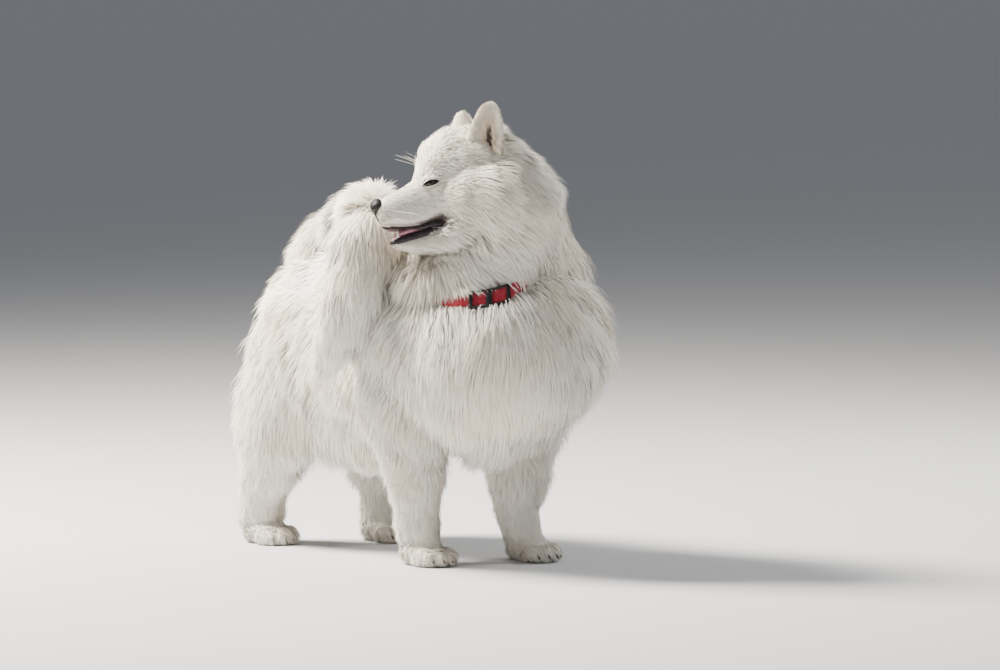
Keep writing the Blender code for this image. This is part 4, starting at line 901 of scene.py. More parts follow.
ear_skin = pebbled("ear_skin", (0.62, 0.50, 0.43), (0.80, 0.71, 0.63), 60.0, 700.0, 0.0004)
for side, name in SIDE_NAME.items():
    root, tip, upward, facing, across = ear_frame(side)
    ear_bm = bmesh.new()
    loops = []
    for share, wide, thick in resampled(EAR_ROWS, 22):
        ring = bmesh.ops.create_circle(ear_bm, segments=40, radius=1.0)["verts"]
        cup = EAR_CUP * (wide / 0.030) ** 1.5
        for v in ring:
            c, s = v.co.x, v.co.y
            deep = thick / 2 * s + cup * (c * c - 0.5)
            v.co = root + (tip - root) * share + across * wide * c + facing * (deep - 0.001)
        loops.append(ring_edges(ring))
    join_rings(ear_bm, loops)
    ear = piece_from("ear_flap_" + name, ear_bm, ear_skin)
    unwrap(ear)
    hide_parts("ear_" + name)
    ears[side] = ear
    slit_gaps = from_slit(np.array([v.co for v in ear.data.vertices]))[0]
    paint(ear, "hollow", [min(1.0, max(0.0, 1.6 - gap / 0.006)) for gap in slit_gaps])
# The flap's colour is mixed to near black where the hollow value is high by the slit: painted shade
# of the ear's deep opening.
ear_tree = ear_skin.node_tree
ear_colour = ear_tree.nodes["Principled BSDF"].inputs["Base Color"]
painted_opening_shade = add_node(ear_tree, "Mix", {
    "Factor": painted(ear_tree, "hollow"), "A": ear_colour.links[0].from_socket,
    "B": (0.055, 0.026, 0.018, 1.0)}, data_type="RGBA")
ear_tree.links.new(painted_opening_shade.outputs["Result"], ear_colour)

# Claws and pads. Blunt dark horn tips stand out of every toe, and black leathery pads lie under
# the toes and the ball of each foot, pressed into the hide.
CLAW = (                          # back from the tip of the toe, Z, half width, half height
    (0.010, 0.0150, 0.0030, 0.0038), (0.004, 0.0145, 0.0028, 0.0036),
    (-0.001, 0.0125, 0.0024, 0.0030), (-0.005, 0.0098, 0.0018, 0.0022),
    (-0.0075, 0.0072, 0.0008, 0.0010),
)
claws_bm, pads_bm = bmesh.new(), bmesh.new()
for side in (-1, 1):
    for foot_y in (FORE_FOOT_Y[side], HIND_FOOT_Y[side]):
        for x, y in TOES:
            toe_x, tip_y = side * FOOT_OUT + x, foot_y + y - 0.024
            draw_rings(claws_bm, [
                (on_dog(toe_x, tip_y + back, z), wide, high) for back, z, wide, high in CLAW
            ], LATERAL, 12)
            lump(pads_bm, on_dog(toe_x, foot_y + y - 0.004, 0.0042), (0.0080, 0.0125, 0.0038))
        lump(pads_bm, on_dog(side * FOOT_OUT, foot_y - 0.006, 0.0046), (0.0190, 0.0170, 0.0042))
claws = piece_from("claws", claws_bm, pebbled(
    "claw_horn", (0.05, 0.04, 0.035), (0.20, 0.16, 0.13), 240.0, 500.0, 0.0002, 0.2))
pads = piece_from("pads", pads_bm, pebbled(
    "pad_leather", (0.020, 0.018, 0.020), (0.055, 0.050, 0.052), 90.0, 420.0, 0.0008))

# Coat. A harsh outer coat stands off from thick wool underneath. It is longest on the ruff, the
# breeches and the tail, lies close on the legs, and is shortest on the face and feet. It is made as
# tapered tufts that grow from the skin, follow the lie of the coat and draw together in locks.
BODY_LIE = [   # place, comb direction, length, lift in degrees, width, tufts per square centimetre
    ((0.00, 0.07, 0.560), (0.0, 1.0, -0.1), 0.060, 30, 0.0021, 15),
    ((0.00, 0.25, 0.540), (0.0, 1.0, -0.1), 0.052, 28, 0.0021, 15),
    ((0.00, 0.42, 0.520), (0.0, 0.5, -0.85), 0.046, 22, 0.0021, 15),
    ((0.09, 0.42, 0.450), (0.05, 0.35, -0.95), 0.042, 22, 0.0021, 15),
    ((0.00, 0.46, 0.430), (0.0, 0.3, -0.95), 0.052, 28, 0.0021, 15),
    ((0.13, 0.20, 0.460), (0.10, 0.70, -0.70), 0.066, 34, 0.0021, 15),
    ((0.13, 0.22, 0.320), (0.05, 0.55, -0.85), 0.072, 34, 0.0021, 15),
    ((0.00, 0.20, 0.190), (0.0, 0.40, -0.90), 0.088, 62, 0.0021, 15),
    ((0.10, 0.25, 0.230), (0.03, 0.15, -1.00), 0.090, 42, 0.0021, 15),
    ((0.10, 0.32, 0.210), (0.03, -0.10, -1.00), 0.112, 52, 0.0020, 16),
    ((0.06, 0.29, 0.195), (0.00, 0.20, -1.00), 0.088, 60, 0.0020, 15),
    ((0.15, 0.02, 0.450), (0.20, 0.40, -0.90), 0.088, 42, 0.0022, 15),
    ((0.15, 0.00, 0.320), (0.15, 0.20, -0.95), 0.080, 36, 0.0022, 15),
    ((0.15, -0.08, 0.290), (0.20, 0.05, -0.95), 0.085, 36, 0.0022, 15),
    ((0.00, -0.21, 0.370), (0.0, -0.15, -0.98), 0.080, 30, 0.0022, 15),
    ((0.12, -0.13, 0.380), (0.32, -0.10, -0.93), 0.088, 34, 0.0022, 15),
    ((0.00, -0.10, 0.225), (0.0, 0.10, -1.00), 0.092, 50, 0.0021, 15),
    ((0.13, -0.04, 0.520), (0.25, 0.30, -0.92), 0.094, 48, 0.0022, 15),
    ((0.00, -0.17, 0.500), (0.0, -0.15, -0.98), 0.080, 32, 0.0021, 15),
    ((0.02, 0.05, 0.600), (0.05, 0.7, -0.70), 0.072, 34, 0.0021, 15),
    ((0.12, 0.38, 0.400), (0.15, 0.45, -0.88), 0.072, 34, 0.0021, 15),
    ((0.09, 0.43, 0.300), (0.0, 0.45, -0.90), 0.076, 34, 0.0021, 15),
    ((0.12, 0.36, 0.260), (0.10, 0.00, -1.00), 0.084, 42, 0.0020, 16),
    ((0.13, 0.02, 0.250), (0.10, 0.05, -0.97), 0.068, 34, 0.0020, 16),
    ((0.10, 0.08, 0.200), (0.05, 0.30, -0.95), 0.034, 24, 0.0019, 17),
    ((0.09, -0.02, 0.170), (0.0, -0.05, -1.0), 0.046, 32, 0.0018, 20),
    ((0.14, 0.01, 0.160), (0.45, 0.00, -0.90), 0.054, 44, 0.0018, 20),
    ((0.10, 0.06, 0.120), (0.05, 0.35, -0.95), 0.027, 25, 0.0017, 20),
    ((0.12, 0.02, 0.100), (0.20, 0.05, -1.0), 0.034, 34, 0.0016, 22),
    ((0.09, -0.03, 0.080), (0.0, -0.10, -1.0), 0.020, 22, 0.0015, 24),
    ((0.09, 0.46, 0.160), (0.05, 0.40, -0.92), 0.050, 38, 0.0017, 20),
    ((0.09, 0.36, 0.160), (0.05, -0.35, -0.95), 0.058, 46, 0.0017, 20),
    ((0.09, 0.46, 0.080), (0.05, 0.30, -0.98), 0.034, 34, 0.0016, 22),
    ((0.09, 0.37, 0.080), (0.05, 0.10, -0.98), 0.024, 24, 0.0016, 22),
    ((0.09, 0.01, 0.030), (0.0, -0.75, -0.65), 0.015, 20, 0.0013, 30),
    ((0.09, -0.06, 0.030), (0.0, -0.75, -0.65), 0.014, 20, 0.0013, 30),
    ((0.09, 0.45, 0.030), (0.0, -0.75, -0.65), 0.015, 20, 0.0013, 30),
    ((0.09, 0.33, 0.030), (0.0, -0.75, -0.65), 0.014, 20, 0.0013, 30),
]
HEAD_LIE = [   # the same on the head: place and comb as forward, up, left
    ((-0.015, 0.005, 0.010), (-0.90, 0.30, 0.15), 0.005, 18, 0.0010, 60),
    ((-0.040, 0.015, 0.000), (-0.98, 0.15, 0.00), 0.008, 18, 0.0011, 54),
    ((-0.080, 0.026, 0.000), (-0.95, 0.30, 0.00), 0.010, 22, 0.0012, 50),
    ((-0.035, -0.020, 0.030), (-0.90, -0.40, 0.15), 0.009, 20, 0.0011, 54),
    ((-0.075, -0.020, 0.038), (-0.85, -0.50, 0.15), 0.012, 22, 0.0012, 48),
    ((-0.098, 0.040, 0.025), (-0.60, 0.80, 0.10), 0.014, 34, 0.0012, 46),
    ((-0.110, 0.070, 0.000), (-0.55, 0.85, 0.00), 0.019, 44, 0.0013, 42),
    ((-0.145, 0.095, 0.030), (-0.90, 0.45, 0.10), 0.024, 44, 0.0014, 36),
    ((-0.180, 0.095, 0.000), (-0.95, 0.00, 0.00), 0.027, 42, 0.0015, 34),
    ((-0.115, 0.010, 0.050), (-0.85, -0.20, 0.30), 0.014, 19, 0.0013, 42),
    ((-0.135, -0.030, 0.062), (-0.80, -0.50, 0.30), 0.024, 20, 0.0015, 34),
    ((-0.100, -0.012, 0.044), (-0.88, -0.35, 0.25), 0.013, 22, 0.0012, 46),
    ((-0.150, 0.035, 0.070), (-0.88, 0.05, 0.30), 0.019, 20, 0.0014, 34),
    ((-0.190, 0.062, 0.060), (-0.75, 0.60, 0.25), 0.015, 26, 0.0013, 44),
    ((-0.196, 0.022, 0.074), (-0.80, -0.45, 0.30), 0.022, 22, 0.0015, 30),
    ((-0.232, 0.056, 0.056), (-0.85, -0.15, 0.30), 0.030, 40, 0.0016, 28),
    ((-0.220, 0.018, 0.072), (-0.75, -0.60, 0.30), 0.036, 30, 0.0016, 28),
    ((-0.190, -0.030, 0.080), (-0.70, -0.60, 0.35), 0.048, 36, 0.0018, 22),
    ((-0.180, -0.080, 0.060), (-0.45, -0.85, 0.25), 0.060, 36, 0.0019, 20),
    ((-0.222, 0.072, 0.022), (-0.90, 0.10, 0.15), 0.042, 52, 0.0016, 28),
    ((-0.245, 0.050, 0.025), (-0.85, -0.10, 0.20), 0.044, 54, 0.0017, 26),
    ((-0.262, 0.020, 0.000), (-0.60, -0.75, 0.00), 0.036, 40, 0.0018, 24),
    ((-0.275, -0.015, 0.000), (-0.35, -0.93, 0.00), 0.040, 30, 0.0018, 22),
    ((-0.270, 0.000, 0.040), (-0.45, -0.85, 0.30), 0.050, 34, 0.0019, 20),
    ((-0.055, -0.092, 0.010), (-0.80, -0.55, 0.10), 0.018, 30, 0.0013, 44),
    ((-0.030, -0.072, 0.010), (-0.85, -0.40, 0.10), 0.007, 18, 0.0011, 54),
    ((-0.085, -0.095, 0.000), (-0.75, -0.65, 0.00), 0.032, 38, 0.0015, 32),
    ((-0.110, -0.095, 0.020), (-0.60, -0.80, 0.10), 0.044, 38, 0.0017, 26),
]
TAIL_LENGTH, TAIL_LIFT, TAIL_WIDTH, TAIL_DENSITY = 0.078, 26, 0.0018, 32
FINENESS = 0.80                   # the tufts' width against the rows above; finer ones stand denser
SHORTER_TAIL = (0.52, 0.56, 0.70, 0.84, 0.82, 0.58, 0.60, 1.0, 1.0, 1.0, 0.75, 0.75)   # along TAIL
TAIL_REACH = 0.042                # how far from the tail's line its coat grows
OVER_BACK = 7                     # the first stations of the tail lie over the back
GUIDE_SOFTNESS, GUIDE_FADE = 0.0001, 2.2     # how a row's say fades with the square of its distance
BATCH = 20000                     # places worked out at a time
draw = np.random.default_rng(7)


def guides_of_the_coat():
    """The rows of both lies, with the dog's other side, as one table."""
    rows = []
    for spot, comb, length, lift, width, density in BODY_LIE:
        for side in ((1, -1) if spot[0] > 0.005 else (1,)):
            place = on_dog(spot[0] * side, spot[1], spot[2])
            rows.append((*place, comb[0] * side, comb[1], comb[2], length, lift, width, density))
    for spot, comb, length, lift, width, density in HEAD_LIE:
        for side in ((1, -1) if spot[2] > 0.0005 else (1,)):
            place = on_head(spot[0], spot[1], spot[2] * side)
            lie = FORWARD * comb[0] + CROWN * comb[1] + LEFTWARD * comb[2] * side
            rows.append((*place, *lie, length, lift, width, density))
    return np.array(rows)


GUIDES = guides_of_the_coat()
TAIL_LINE = np.array([on_dog(x, y, z) for x, y, z, half in TAIL])


def unit(vectors):
    """The same directions, each of length one."""
    return vectors / np.maximum(np.linalg.norm(vectors, axis=1, keepdims=True), 1e-9)


def coat_at(places, normals):
    """Comb direction, length, lift, width and density of the coat at places on the skin."""
    made = []
    for start in range(0, len(places), BATCH):
        some = places[start:start + BATCH]
        gap = ((some[:, None, :] - GUIDES[None, :, :3]) ** 2).sum(2)
        weight = 1.0 / (gap + GUIDE_SOFTNESS) ** GUIDE_FADE
        made.append(weight @ GUIDES[:, 3:] / weight.sum(1, keepdims=True))
    field = np.concatenate(made)
    to_tail = ((places[:, None, :] - TAIL_LINE[None, 1:, :]) ** 2).sum(2)
    nearest = to_tail.argmin(1) + 1
    on_tail = np.sqrt(to_tail.min(1)) < TAIL_REACH
    on_tail &= ~((nearest < 3) & (places[:, 2] < 0.50))
    along = unit(np.gradient(TAIL_LINE, axis=0))[nearest]
    over_back = nearest < OVER_BACK
    lie = np.where(
        over_back[:, None], along * -0.40 + np.array([-0.10, 0.15, -0.75]),
        along + np.array([0.0, 0.0, -0.30]))
    field[on_tail, :3] = lie[on_tail]
    field[on_tail, 3:] = (TAIL_LENGTH, TAIL_LIFT, TAIL_WIDTH, TAIL_DENSITY)
    field[on_tail, 3] *= np.array(SHORTER_TAIL)[nearest][on_tail]
    field[on_tail, 4] *= np.where(over_back & (normals[:, 2] > 0.0), 1.3, 1.0)[on_tail]
    field[:, 5] *= FINENESS
    field[:, 6] /= FINENESS ** 1.6
    return field, on_tail


def read_rows(items, name, width, kind=np.float32):
    """One property of every item of a mesh, as rows."""
    values = np.empty(len(items) * width, dtype=kind)
    items.foreach_get(name, values)
    return values.reshape(-1, width)


def scatter(piece, per_cm2):
    """Roots scattered over a piece, each with its normal and its place on the piece's unwrap."""
    mesh = piece.data
    mesh.calc_loop_triangles()
    corners = read_rows(mesh.loop_triangles, "vertices", 3, np.int32)
    loops = read_rows(mesh.loop_triangles, "loops", 3, np.int32)
    places = read_rows(mesh.vertices, "co", 3).astype(float)
    normals = read_rows(mesh.vertices, "normal", 3).astype(float)
    chart = read_rows(mesh.uv_layers["OFBake"].data, "uv", 2)
    a, b, c = (places[corners[:, k]] for k in range(3))
    area = np.linalg.norm(np.cross(b - a, c - a), axis=1) / 2
    wanted = area * 1e4 * per_cm2((a + b + c) / 3, normals[corners[:, 0]])
    number = np.floor(wanted + draw.random(len(wanted))).astype(int)
    owner = np.repeat(np.arange(len(number)), number)
    mix = np.sort(draw.random((len(owner), 2)), axis=1)
    share = np.stack([mix[:, 0], mix[:, 1] - mix[:, 0], 1 - mix[:, 1]], axis=1)[:, :, None]
    return (
        (places[corners[owner]] * share).sum(1),
        unit((normals[corners[owner]] * share).sum(1)),
        (chart[loops[owner]] * share).sum(1),
    )


def drift(places, scale, phase):
    """A slow wave over the body, between -1 and 1, that keeps the coat from lying too evenly."""
    x, y, z = (places * scale).T
    return (np.sin(x + 1.7 * z + phase) + np.sin(1.3 * y - z + 2 * phase)
            + np.sin(0.9 * z + 1.1 * y - x + 3 * phase)) / 3


def draw_together(points, roots, length, size, pull):
    """Pull the tips of neighbouring tufts towards one of them, so that they form locks."""
    leaders = draw.choice(len(roots), max(1, len(roots) // size), replace=False)
    tree = KDTree(len(leaders))
    for slot, leader in enumerate(leaders):
        tree.insert(roots[leader], slot)
    tree.balance()
    mine = leaders[[tree.find(root)[1] for root in roots]]
    near = np.linalg.norm(roots[mine] - roots, axis=1) < length * 0.6
    share = np.array([0.0, 0.33, 0.66, 1.0])[None, :, None] * near[:, None, None]
    offset = points[mine] - points
    reach = length[mine] / np.maximum(length, 1e-6)
    offset[np.abs(np.log(reach)) > 0.8] = 0.0
    return points + offset * share * (pull * draw.uniform(0.5, 1.0, len(roots)))[:, None, None]


ROOT_DEPTH = 0.0015               # how far the tufts start inside the skin
STRAY_SHARE, STRAY_LIFT = 0.15, 1.65      # some tufts of the longer coat stand up further
BENDS = ((0.36, 1.0), (0.34, 0.62), (0.30, 0.34))     # share of the length, share of the lift kept


def grow(roots, normals, field):
    """Where each tuft runs: its root, two points on the way, and its tip."""
    count = len(roots)
    lie = unit(field[:, :3] - normals * (field[:, :3] * normals).sum(1, keepdims=True))
    across = np.cross(normals, lie)
    length = field[:, 3] * draw.uniform(0.70, 1.15, count) * (1 + 0.12 * drift(roots, 55, 1.0))
    swing = draw.normal(0, 0.17, count) + 0.28 * drift(roots, 38, 2.0) + 0.16 * drift(roots, 95, 4.0)
    way = lie * np.cos(swing)[:, None] + across * np.sin(swing)[:, None]
    uneven = 1 + 0.20 * draw.normal(size=count) + 0.15 * drift(roots, 70, 3.0)
    lift = np.radians(field[:, 4] * uneven)
    stray = (draw.random(count) < STRAY_SHARE) & (field[:, 3] > 0.014)
    lift = np.clip(np.where(stray, lift * STRAY_LIFT, lift), 0.05, 1.25)
    points = [roots - normals * ROOT_DEPTH]
    at = roots
    for share, keep in BENDS:
        rise = lift * keep
        step = way * np.cos(rise)[:, None] + normals * np.sin(rise)[:, None]
        step[:, 2] -= (1 - keep) * 0.30
        at = at + unit(step) * (length * share)[:, None]
        points.append(at)
    return np.stack(points, axis=1), length


TUFT_TAPER = 0.72                 # width of a tuft where its tip begins
TUFT_PATCH = 0.0015               # half size of a tuft's own patch on the unwrap
OWN_TONE = 0.35                   # share of a tuft's own tone; the rest comes with its height, which gives painted shade at the roots


def tuft_mesh(name, points, normals, widths, chart, tone, material, sides=2):
    """Tapered tufts as one mesh, from the points each one runs through, flat or three-sided."""
    count, rows = points.shape[0], points.shape[1] - 1
    each = rows * sides + 1
    along = unit((points[:, 1] - points[:, 0]).reshape(-1, 3))
    across = unit(np.cross(along, normals))
    twist = draw.uniform(-0.6, 0.6, count)[:, None]
    lift = unit(np.cross(across, along))
    side = across * np.cos(twist) + lift * np.sin(twist)
    up = lift * np.cos(twist) - across * np.sin(twist)
    corner = [(1.0, 0.0), (-1.0, 0.0)] if sides == 2 else [(1.0, -0.3), (0.0, 0.6), (-1.0, -0.3)]
    verts = np.empty((count, each, 3), dtype=np.float32)
    for r, taper in enumerate(np.linspace(1.0, TUFT_TAPER, rows)):
        half = (widths * taper / 2)[:, None]
        for k, (s, u) in enumerate(corner):
            verts[:, r * sides + k] = points[:, r] + side * half * s + up * half * u
    verts[:, -1] = points[:, -1]
    faces = []
    for r in range(rows):
        for k in range(1 if sides == 2 else sides):
            a, b = r * sides + k, r * sides + (k + 1) % sides
            if r == rows - 1:
                faces.append((a, b, rows * sides))
            else:
                faces += [(a, b, b + sides), (a, b + sides, a + sides)]
    faces = np.array(faces, dtype=np.int32)[:, ::-1]
    first = (np.arange(count, dtype=np.int32) * each)[:, None, None]
    index = (faces[None] + first).reshape(-1)
    mesh = bpy.data.meshes.new(name)
    mesh.vertices.add(count * each)
    mesh.vertices.foreach_set("co", verts.reshape(-1))
    mesh.loops.add(len(index))
    mesh.loops.foreach_set("vertex_index", index)
    mesh.polygons.add(len(index) // 3)
    mesh.polygons.foreach_set("loop_start", np.arange(0, len(index), 3, dtype=np.int32))
    mesh.update(calc_edges=True)
    mesh.shade_smooth()
    height = np.append(np.repeat(np.arange(rows), sides) / rows, 1.0)
    # Low values at the root are where the hair finish paints shade into the coat's depth.
    shade = tone[:, None] * OWN_TONE + height[None] * (1 - OWN_TONE)
    mesh.attributes.new("tone", "FLOAT", "POINT").data.foreach_set(
        "value", shade.astype(np.float32).reshape(-1))
    patch = np.stack([np.tile(np.linspace(-1.0, 1.0, sides), rows), height[:-1] * 2 - 1], axis=1)
    patch = np.vstack([patch, [0.0, 1.0]]) * TUFT_PATCH
    spread = (chart[:, None, :] + patch[None]).reshape(-1, 2)[index]
    mesh.uv_layers.new(name="OFBake").data.foreach_set("uv", spread.astype(np.float32).reshape(-1))
    if sides == 2:
        bend = np.empty_like(verts)
        for r in range(rows + 1):
            run = unit(points[:, min(r + 1, rows)] - points[:, min(r, rows - 1)])
            face = unit(np.cross(side, run))
            face *= np.sign((face * up).sum(1, keepdims=True))
            agree = np.clip((face * normals).sum(1, keepdims=True), 0.0, 1.0)
            bend[:, r * sides:(r + 1) * sides] = unit(face + normals * agree * 2.0)[:, None]
        mesh.normals_split_custom_set_from_vertices(bend.reshape(-1, 3))
    mesh.materials.append(material)
    piece = carried(name, mesh)
    print("coat piece", name, count, "tufts", len(index) // 3, "triangles")


def hair_finish(name, shaded_root_tint, tip_tint, warm_tint, sheen):
    """Hair painted darker towards its roots as shade in the depth of the coat, and a little warmer in
    patches.
    """
    material, tree, shader = new_finish(name)
    place = add_node(tree, "TexCoord", {}).outputs["Object"]
    patches = add_node(tree, "TexNoise", {"Vector": place, "Scale": 9.0, "Detail": 3.0})
    both = add_node(tree, "Mix", {
        "Factor": 1.0, "A": blend(tree, painted(tree, "tone"), (0.0, shaded_root_tint), (0.60, tip_tint)),
        "B": blend(tree, patches.outputs["Fac"], (0.35, warm_tint), (0.62, (1.0, 1.0, 1.0)))},
        data_type="RGBA", blend_type="MULTIPLY")
    feed(shader, {"Base Color": both.outputs["Result"], "Roughness": 0.60, "Sheen Weight": sheen,
                  "Sheen Roughness": 0.4})
    return material


# The root tints are darker than the tip tints: painted shade in the depth of the coat.
white_hair = hair_finish(
    "white_hair", (0.78, 0.73, 0.65), (0.94, 0.910, 0.850), (0.97, 0.93, 0.85), 0.3)
silky_hair = hair_finish(
    "silky_hair", (0.66, 0.54, 0.40), (0.90, 0.85, 0.74), (0.96, 0.88, 0.76), 0.2)
thinning = 1.0
roots, root_normals, root_chart = scatter(
    skin, lambda places, normals: coat_at(places, normals)[0][:, 6] * thinning)
field, on_tail = coat_at(roots, root_normals)
ahead, above, leftward = (
    (roots - np.array(NOSE_TIP)) @ np.array(axis) for axis in (FORWARD, CROWN, LEFTWARD))

# Bare places. No hair grows under the nose leather, inside the mouth, round the eyes, in the ears'
# openings, under the collar and on the soles, and it is shorter beside the eyes and ears.
STRAP_BED = 0.009                 # half the height of the bare strip under the strap
MOUTH_BACK, MOUTH_TOP, MOUTH_FLOOR, MOUTH_MIDDLE = -0.108, -0.030, -0.066, -0.052
NOSE_BARE, SOLE_BARE, SLIT_BARE = 0.0165, 0.006, 0.0058
inward = root_normals @ np.array(CROWN)
bare = (ahead > MOUTH_BACK) & (above > MOUTH_FLOOR) & (above < MOUTH_TOP)
bare &= (np.abs(inward) > 0.35) & ((inward > 0) == (above < MOUTH_MIDDLE))
bare |= np.linalg.norm(roots - np.array(on_head(-0.0115, -0.002)), axis=1) < NOSE_BARE
bare |= roots[:, 2] < SOLE_BARE
for side in (-1, 1):
    centre, outward, back, upward = (np.array(part) for part in eye_frame(side))
    off = roots - centre
    near = np.hypot((off @ back) / 0.0158, (off @ upward) / 0.0070)
    bare |= (near < 1.0) & (np.linalg.norm(off, axis=1) < 0.024)
    field[:, 3] *= np.where((near < 1.8) & (np.linalg.norm(off, axis=1) < 0.03), 0.62, 1.0)
slit_gap = from_slit(roots)[0]
bare |= slit_gap < SLIT_BARE
field[:, 3] *= np.clip(slit_gap / 0.024, 0.30, 1.0)
low_way = np.array([math.cos(COLLAR_LOW_SIDE), math.sin(COLLAR_LOW_SIDE)])
upright_share = 1.0 / math.sqrt(1 + COLLAR_LEAN ** 2)


def over_collar(places):
    """Height over the sloping plane of the collar, and bearing from the buckle."""
    off = places - np.array(COLLAR_CENTRE)
    height = (off[..., 2] + COLLAR_LEAN * (off[..., :2] @ low_way)) * upright_share
    bearing = np.arctan2(off[..., 1], off[..., 0]) - BUCKLE_BEARING
    return height, (bearing + math.pi) % (2 * math.pi) - math.pi


height, swing = over_collar(roots)
bare |= (np.abs(height) < STRAP_BED) & (np.abs(swing) < 1.2) & ~on_tail & (roots[:, 2] > 0.45)
roots, root_normals, root_chart, field, on_tail, ahead, above, leftward, height, swing = (
    rows[~bare] for rows in (
        roots, root_normals, root_chart, field, on_tail, ahead, above, leftward, height, swing))
lines, lengths = grow(roots, root_normals, field)
lines = draw_together(lines, roots, lengths, 5, 0.40)
lines = draw_together(lines, roots, lengths, 36, 0.30)

# Hold of the collar. It keeps the coat down in front: the tufts above it end at the strap, all of
# them over the buckle and fewer and fewer towards the sides.
tip_height, tip_swing = over_collar(lines[:, 3])
fall = np.maximum(height - tip_height, 1e-6)
swing = swing + (tip_swing - swing) * np.clip(height / fall, 0.0, 1.0)
hold = np.where(swing > 0, (0.54 - swing) / 0.36, (0.44 + swing) / 0.24)
held = draw.random(len(roots)) < np.clip(hold, 0.0, 1.0)
held &= (height > STRAP_BED) & (height < 0.14) & ~on_tail & (ahead < -0.10)
stop = STRAP_BED + draw.normal(0, 0.0024, len(roots)) - 0.0150 * (np.abs(swing) > 0.225)
share = np.where(held & (tip_height < stop), (height - stop) / fall, 1.0)
share = np.clip(share, 0.12, 1.0)[:, None, None]
lines = lines[:, :1] + (lines - lines[:, :1]) * share


COAT_SLACK = (0.0100, 0.0145, 0.0140)    # how far the coat may stand past the solids in X, Y, Z
HAIR_FLOOR = 0.0012               # no hair hangs lower than this


def trimmed(points):
    """Tufts that would stand out too far from the whole dog are shorter."""
    low = np.array(cad_box[0]) - np.array(COAT_SLACK)
    high = np.array(cad_box[1]) + np.array(COAT_SLACK)
    reach = points[:, 3] - points[:, 0]
    room = np.where(reach > 0, high - points[:, 0], points[:, 0] - low)
    share = np.min(room / np.maximum(np.abs(reach), 1e-6), axis=1)
    cut = np.clip(share, 0.1, 1.0) * draw.uniform(0.8, 1.0, len(points))
    share = np.where(share < 1.0, cut, 1.0)
    points = points[:, :1] + (points - points[:, :1]) * share[:, None, None]
    points[:, :, 2] = np.maximum(points[:, :, 2], HAIR_FLOOR)
    return np.clip(points, low, high)


lines = trimmed(lines)
tone = draw.random(len(roots))

# Areas of the coat. Each is one mesh or a few, in which short coat has a point less to its tufts.
MOST_TRIANGLES = 199000           # in one piece
areas = {                         # the first area that holds a root takes it
    "coat_tail": on_tail,
    "coat_face": (ahead > -0.172) & (above > -0.12) & (np.abs(leftward) < 0.13),
    "coat_feet": (roots[:, 2] < 0.11) & ~on_tail,
    "coat_legs": (roots[:, 2] < 0.235) & (np.abs(roots[:, 0] + MODEL_CENTRE.x) > 0.045),
    "coat_rump": roots[:, 1] + MODEL_CENTRE.y > 0.27,
    "coat_flanks": roots[:, 1] + MODEL_CENTRE.y > 0.08,
    "coat_neck": roots[:, 2] > 0.50,
    "coat_chest": roots[:, 2] > -1,
}
SHORT_COAT = ("coat_face", "coat_feet", "coat_legs")
left_over = np.ones(len(roots), dtype=bool)
for name, area in areas.items():
    mine = np.flatnonzero(area & left_over)
    left_over[mine] = False
    rows = lines[mine][:, (0, 2, 3)] if name in SHORT_COAT else lines[mine]
    most = MOST_TRIANGLES // (3 if name in SHORT_COAT else 5)
    for part, start in enumerate(range(0, len(mine), most)):
        some = mine[start:start + most]
        tuft_mesh(
            name if len(mine) <= most else f"{name}_{part + 1}", rows[start:start + most],
            root_normals[some], field[some, 5], root_chart[some], tone[some], white_hair)

# Lid hair. The outer half of each eyelid is covered in short velvety hair that is combed back from
# the eye; the black rim stays bare.
LID_HAIR_LENGTH, LID_HAIR_LIFT, LID_HAIR_WIDTH, LID_HAIR_DENSITY = 0.0085, 24, 0.0009, 170.0
for side, lids in eyelids.items():
    centre, outward, back, upward = (np.array(part) for part in eye_frame(side))

    def lid_density(places, normals):
        off = places - centre
        opening = np.hypot(off @ back / 0.0152, off @ upward / 0.0060)
        return np.where(opening > 1.0, LID_HAIR_DENSITY, 0.0) * thinning

    lid_roots, lid_normals, lid_chart = scatter(lids, lid_density)
    off = lid_roots - centre
    lie = back * 0.8 + (off @ upward)[:, None] * upward * 60.0 + (off @ back)[:, None] * back * 40.0
    ones = np.full(len(lid_roots), 1.0)
    lid_field = np.column_stack([
        lie, ones * LID_HAIR_LENGTH, ones * LID_HAIR_LIFT, ones * LID_HAIR_WIDTH, ones])
    lid_lines = grow(lid_roots, lid_normals, lid_field)[0][:, (0, 2, 3)]
    tuft_mesh("coat_lid_" + SIDE_NAME[side], lid_lines, lid_normals, ones * LID_HAIR_WIDTH,
              lid_chart, draw.random(len(lid_roots)), white_hair)
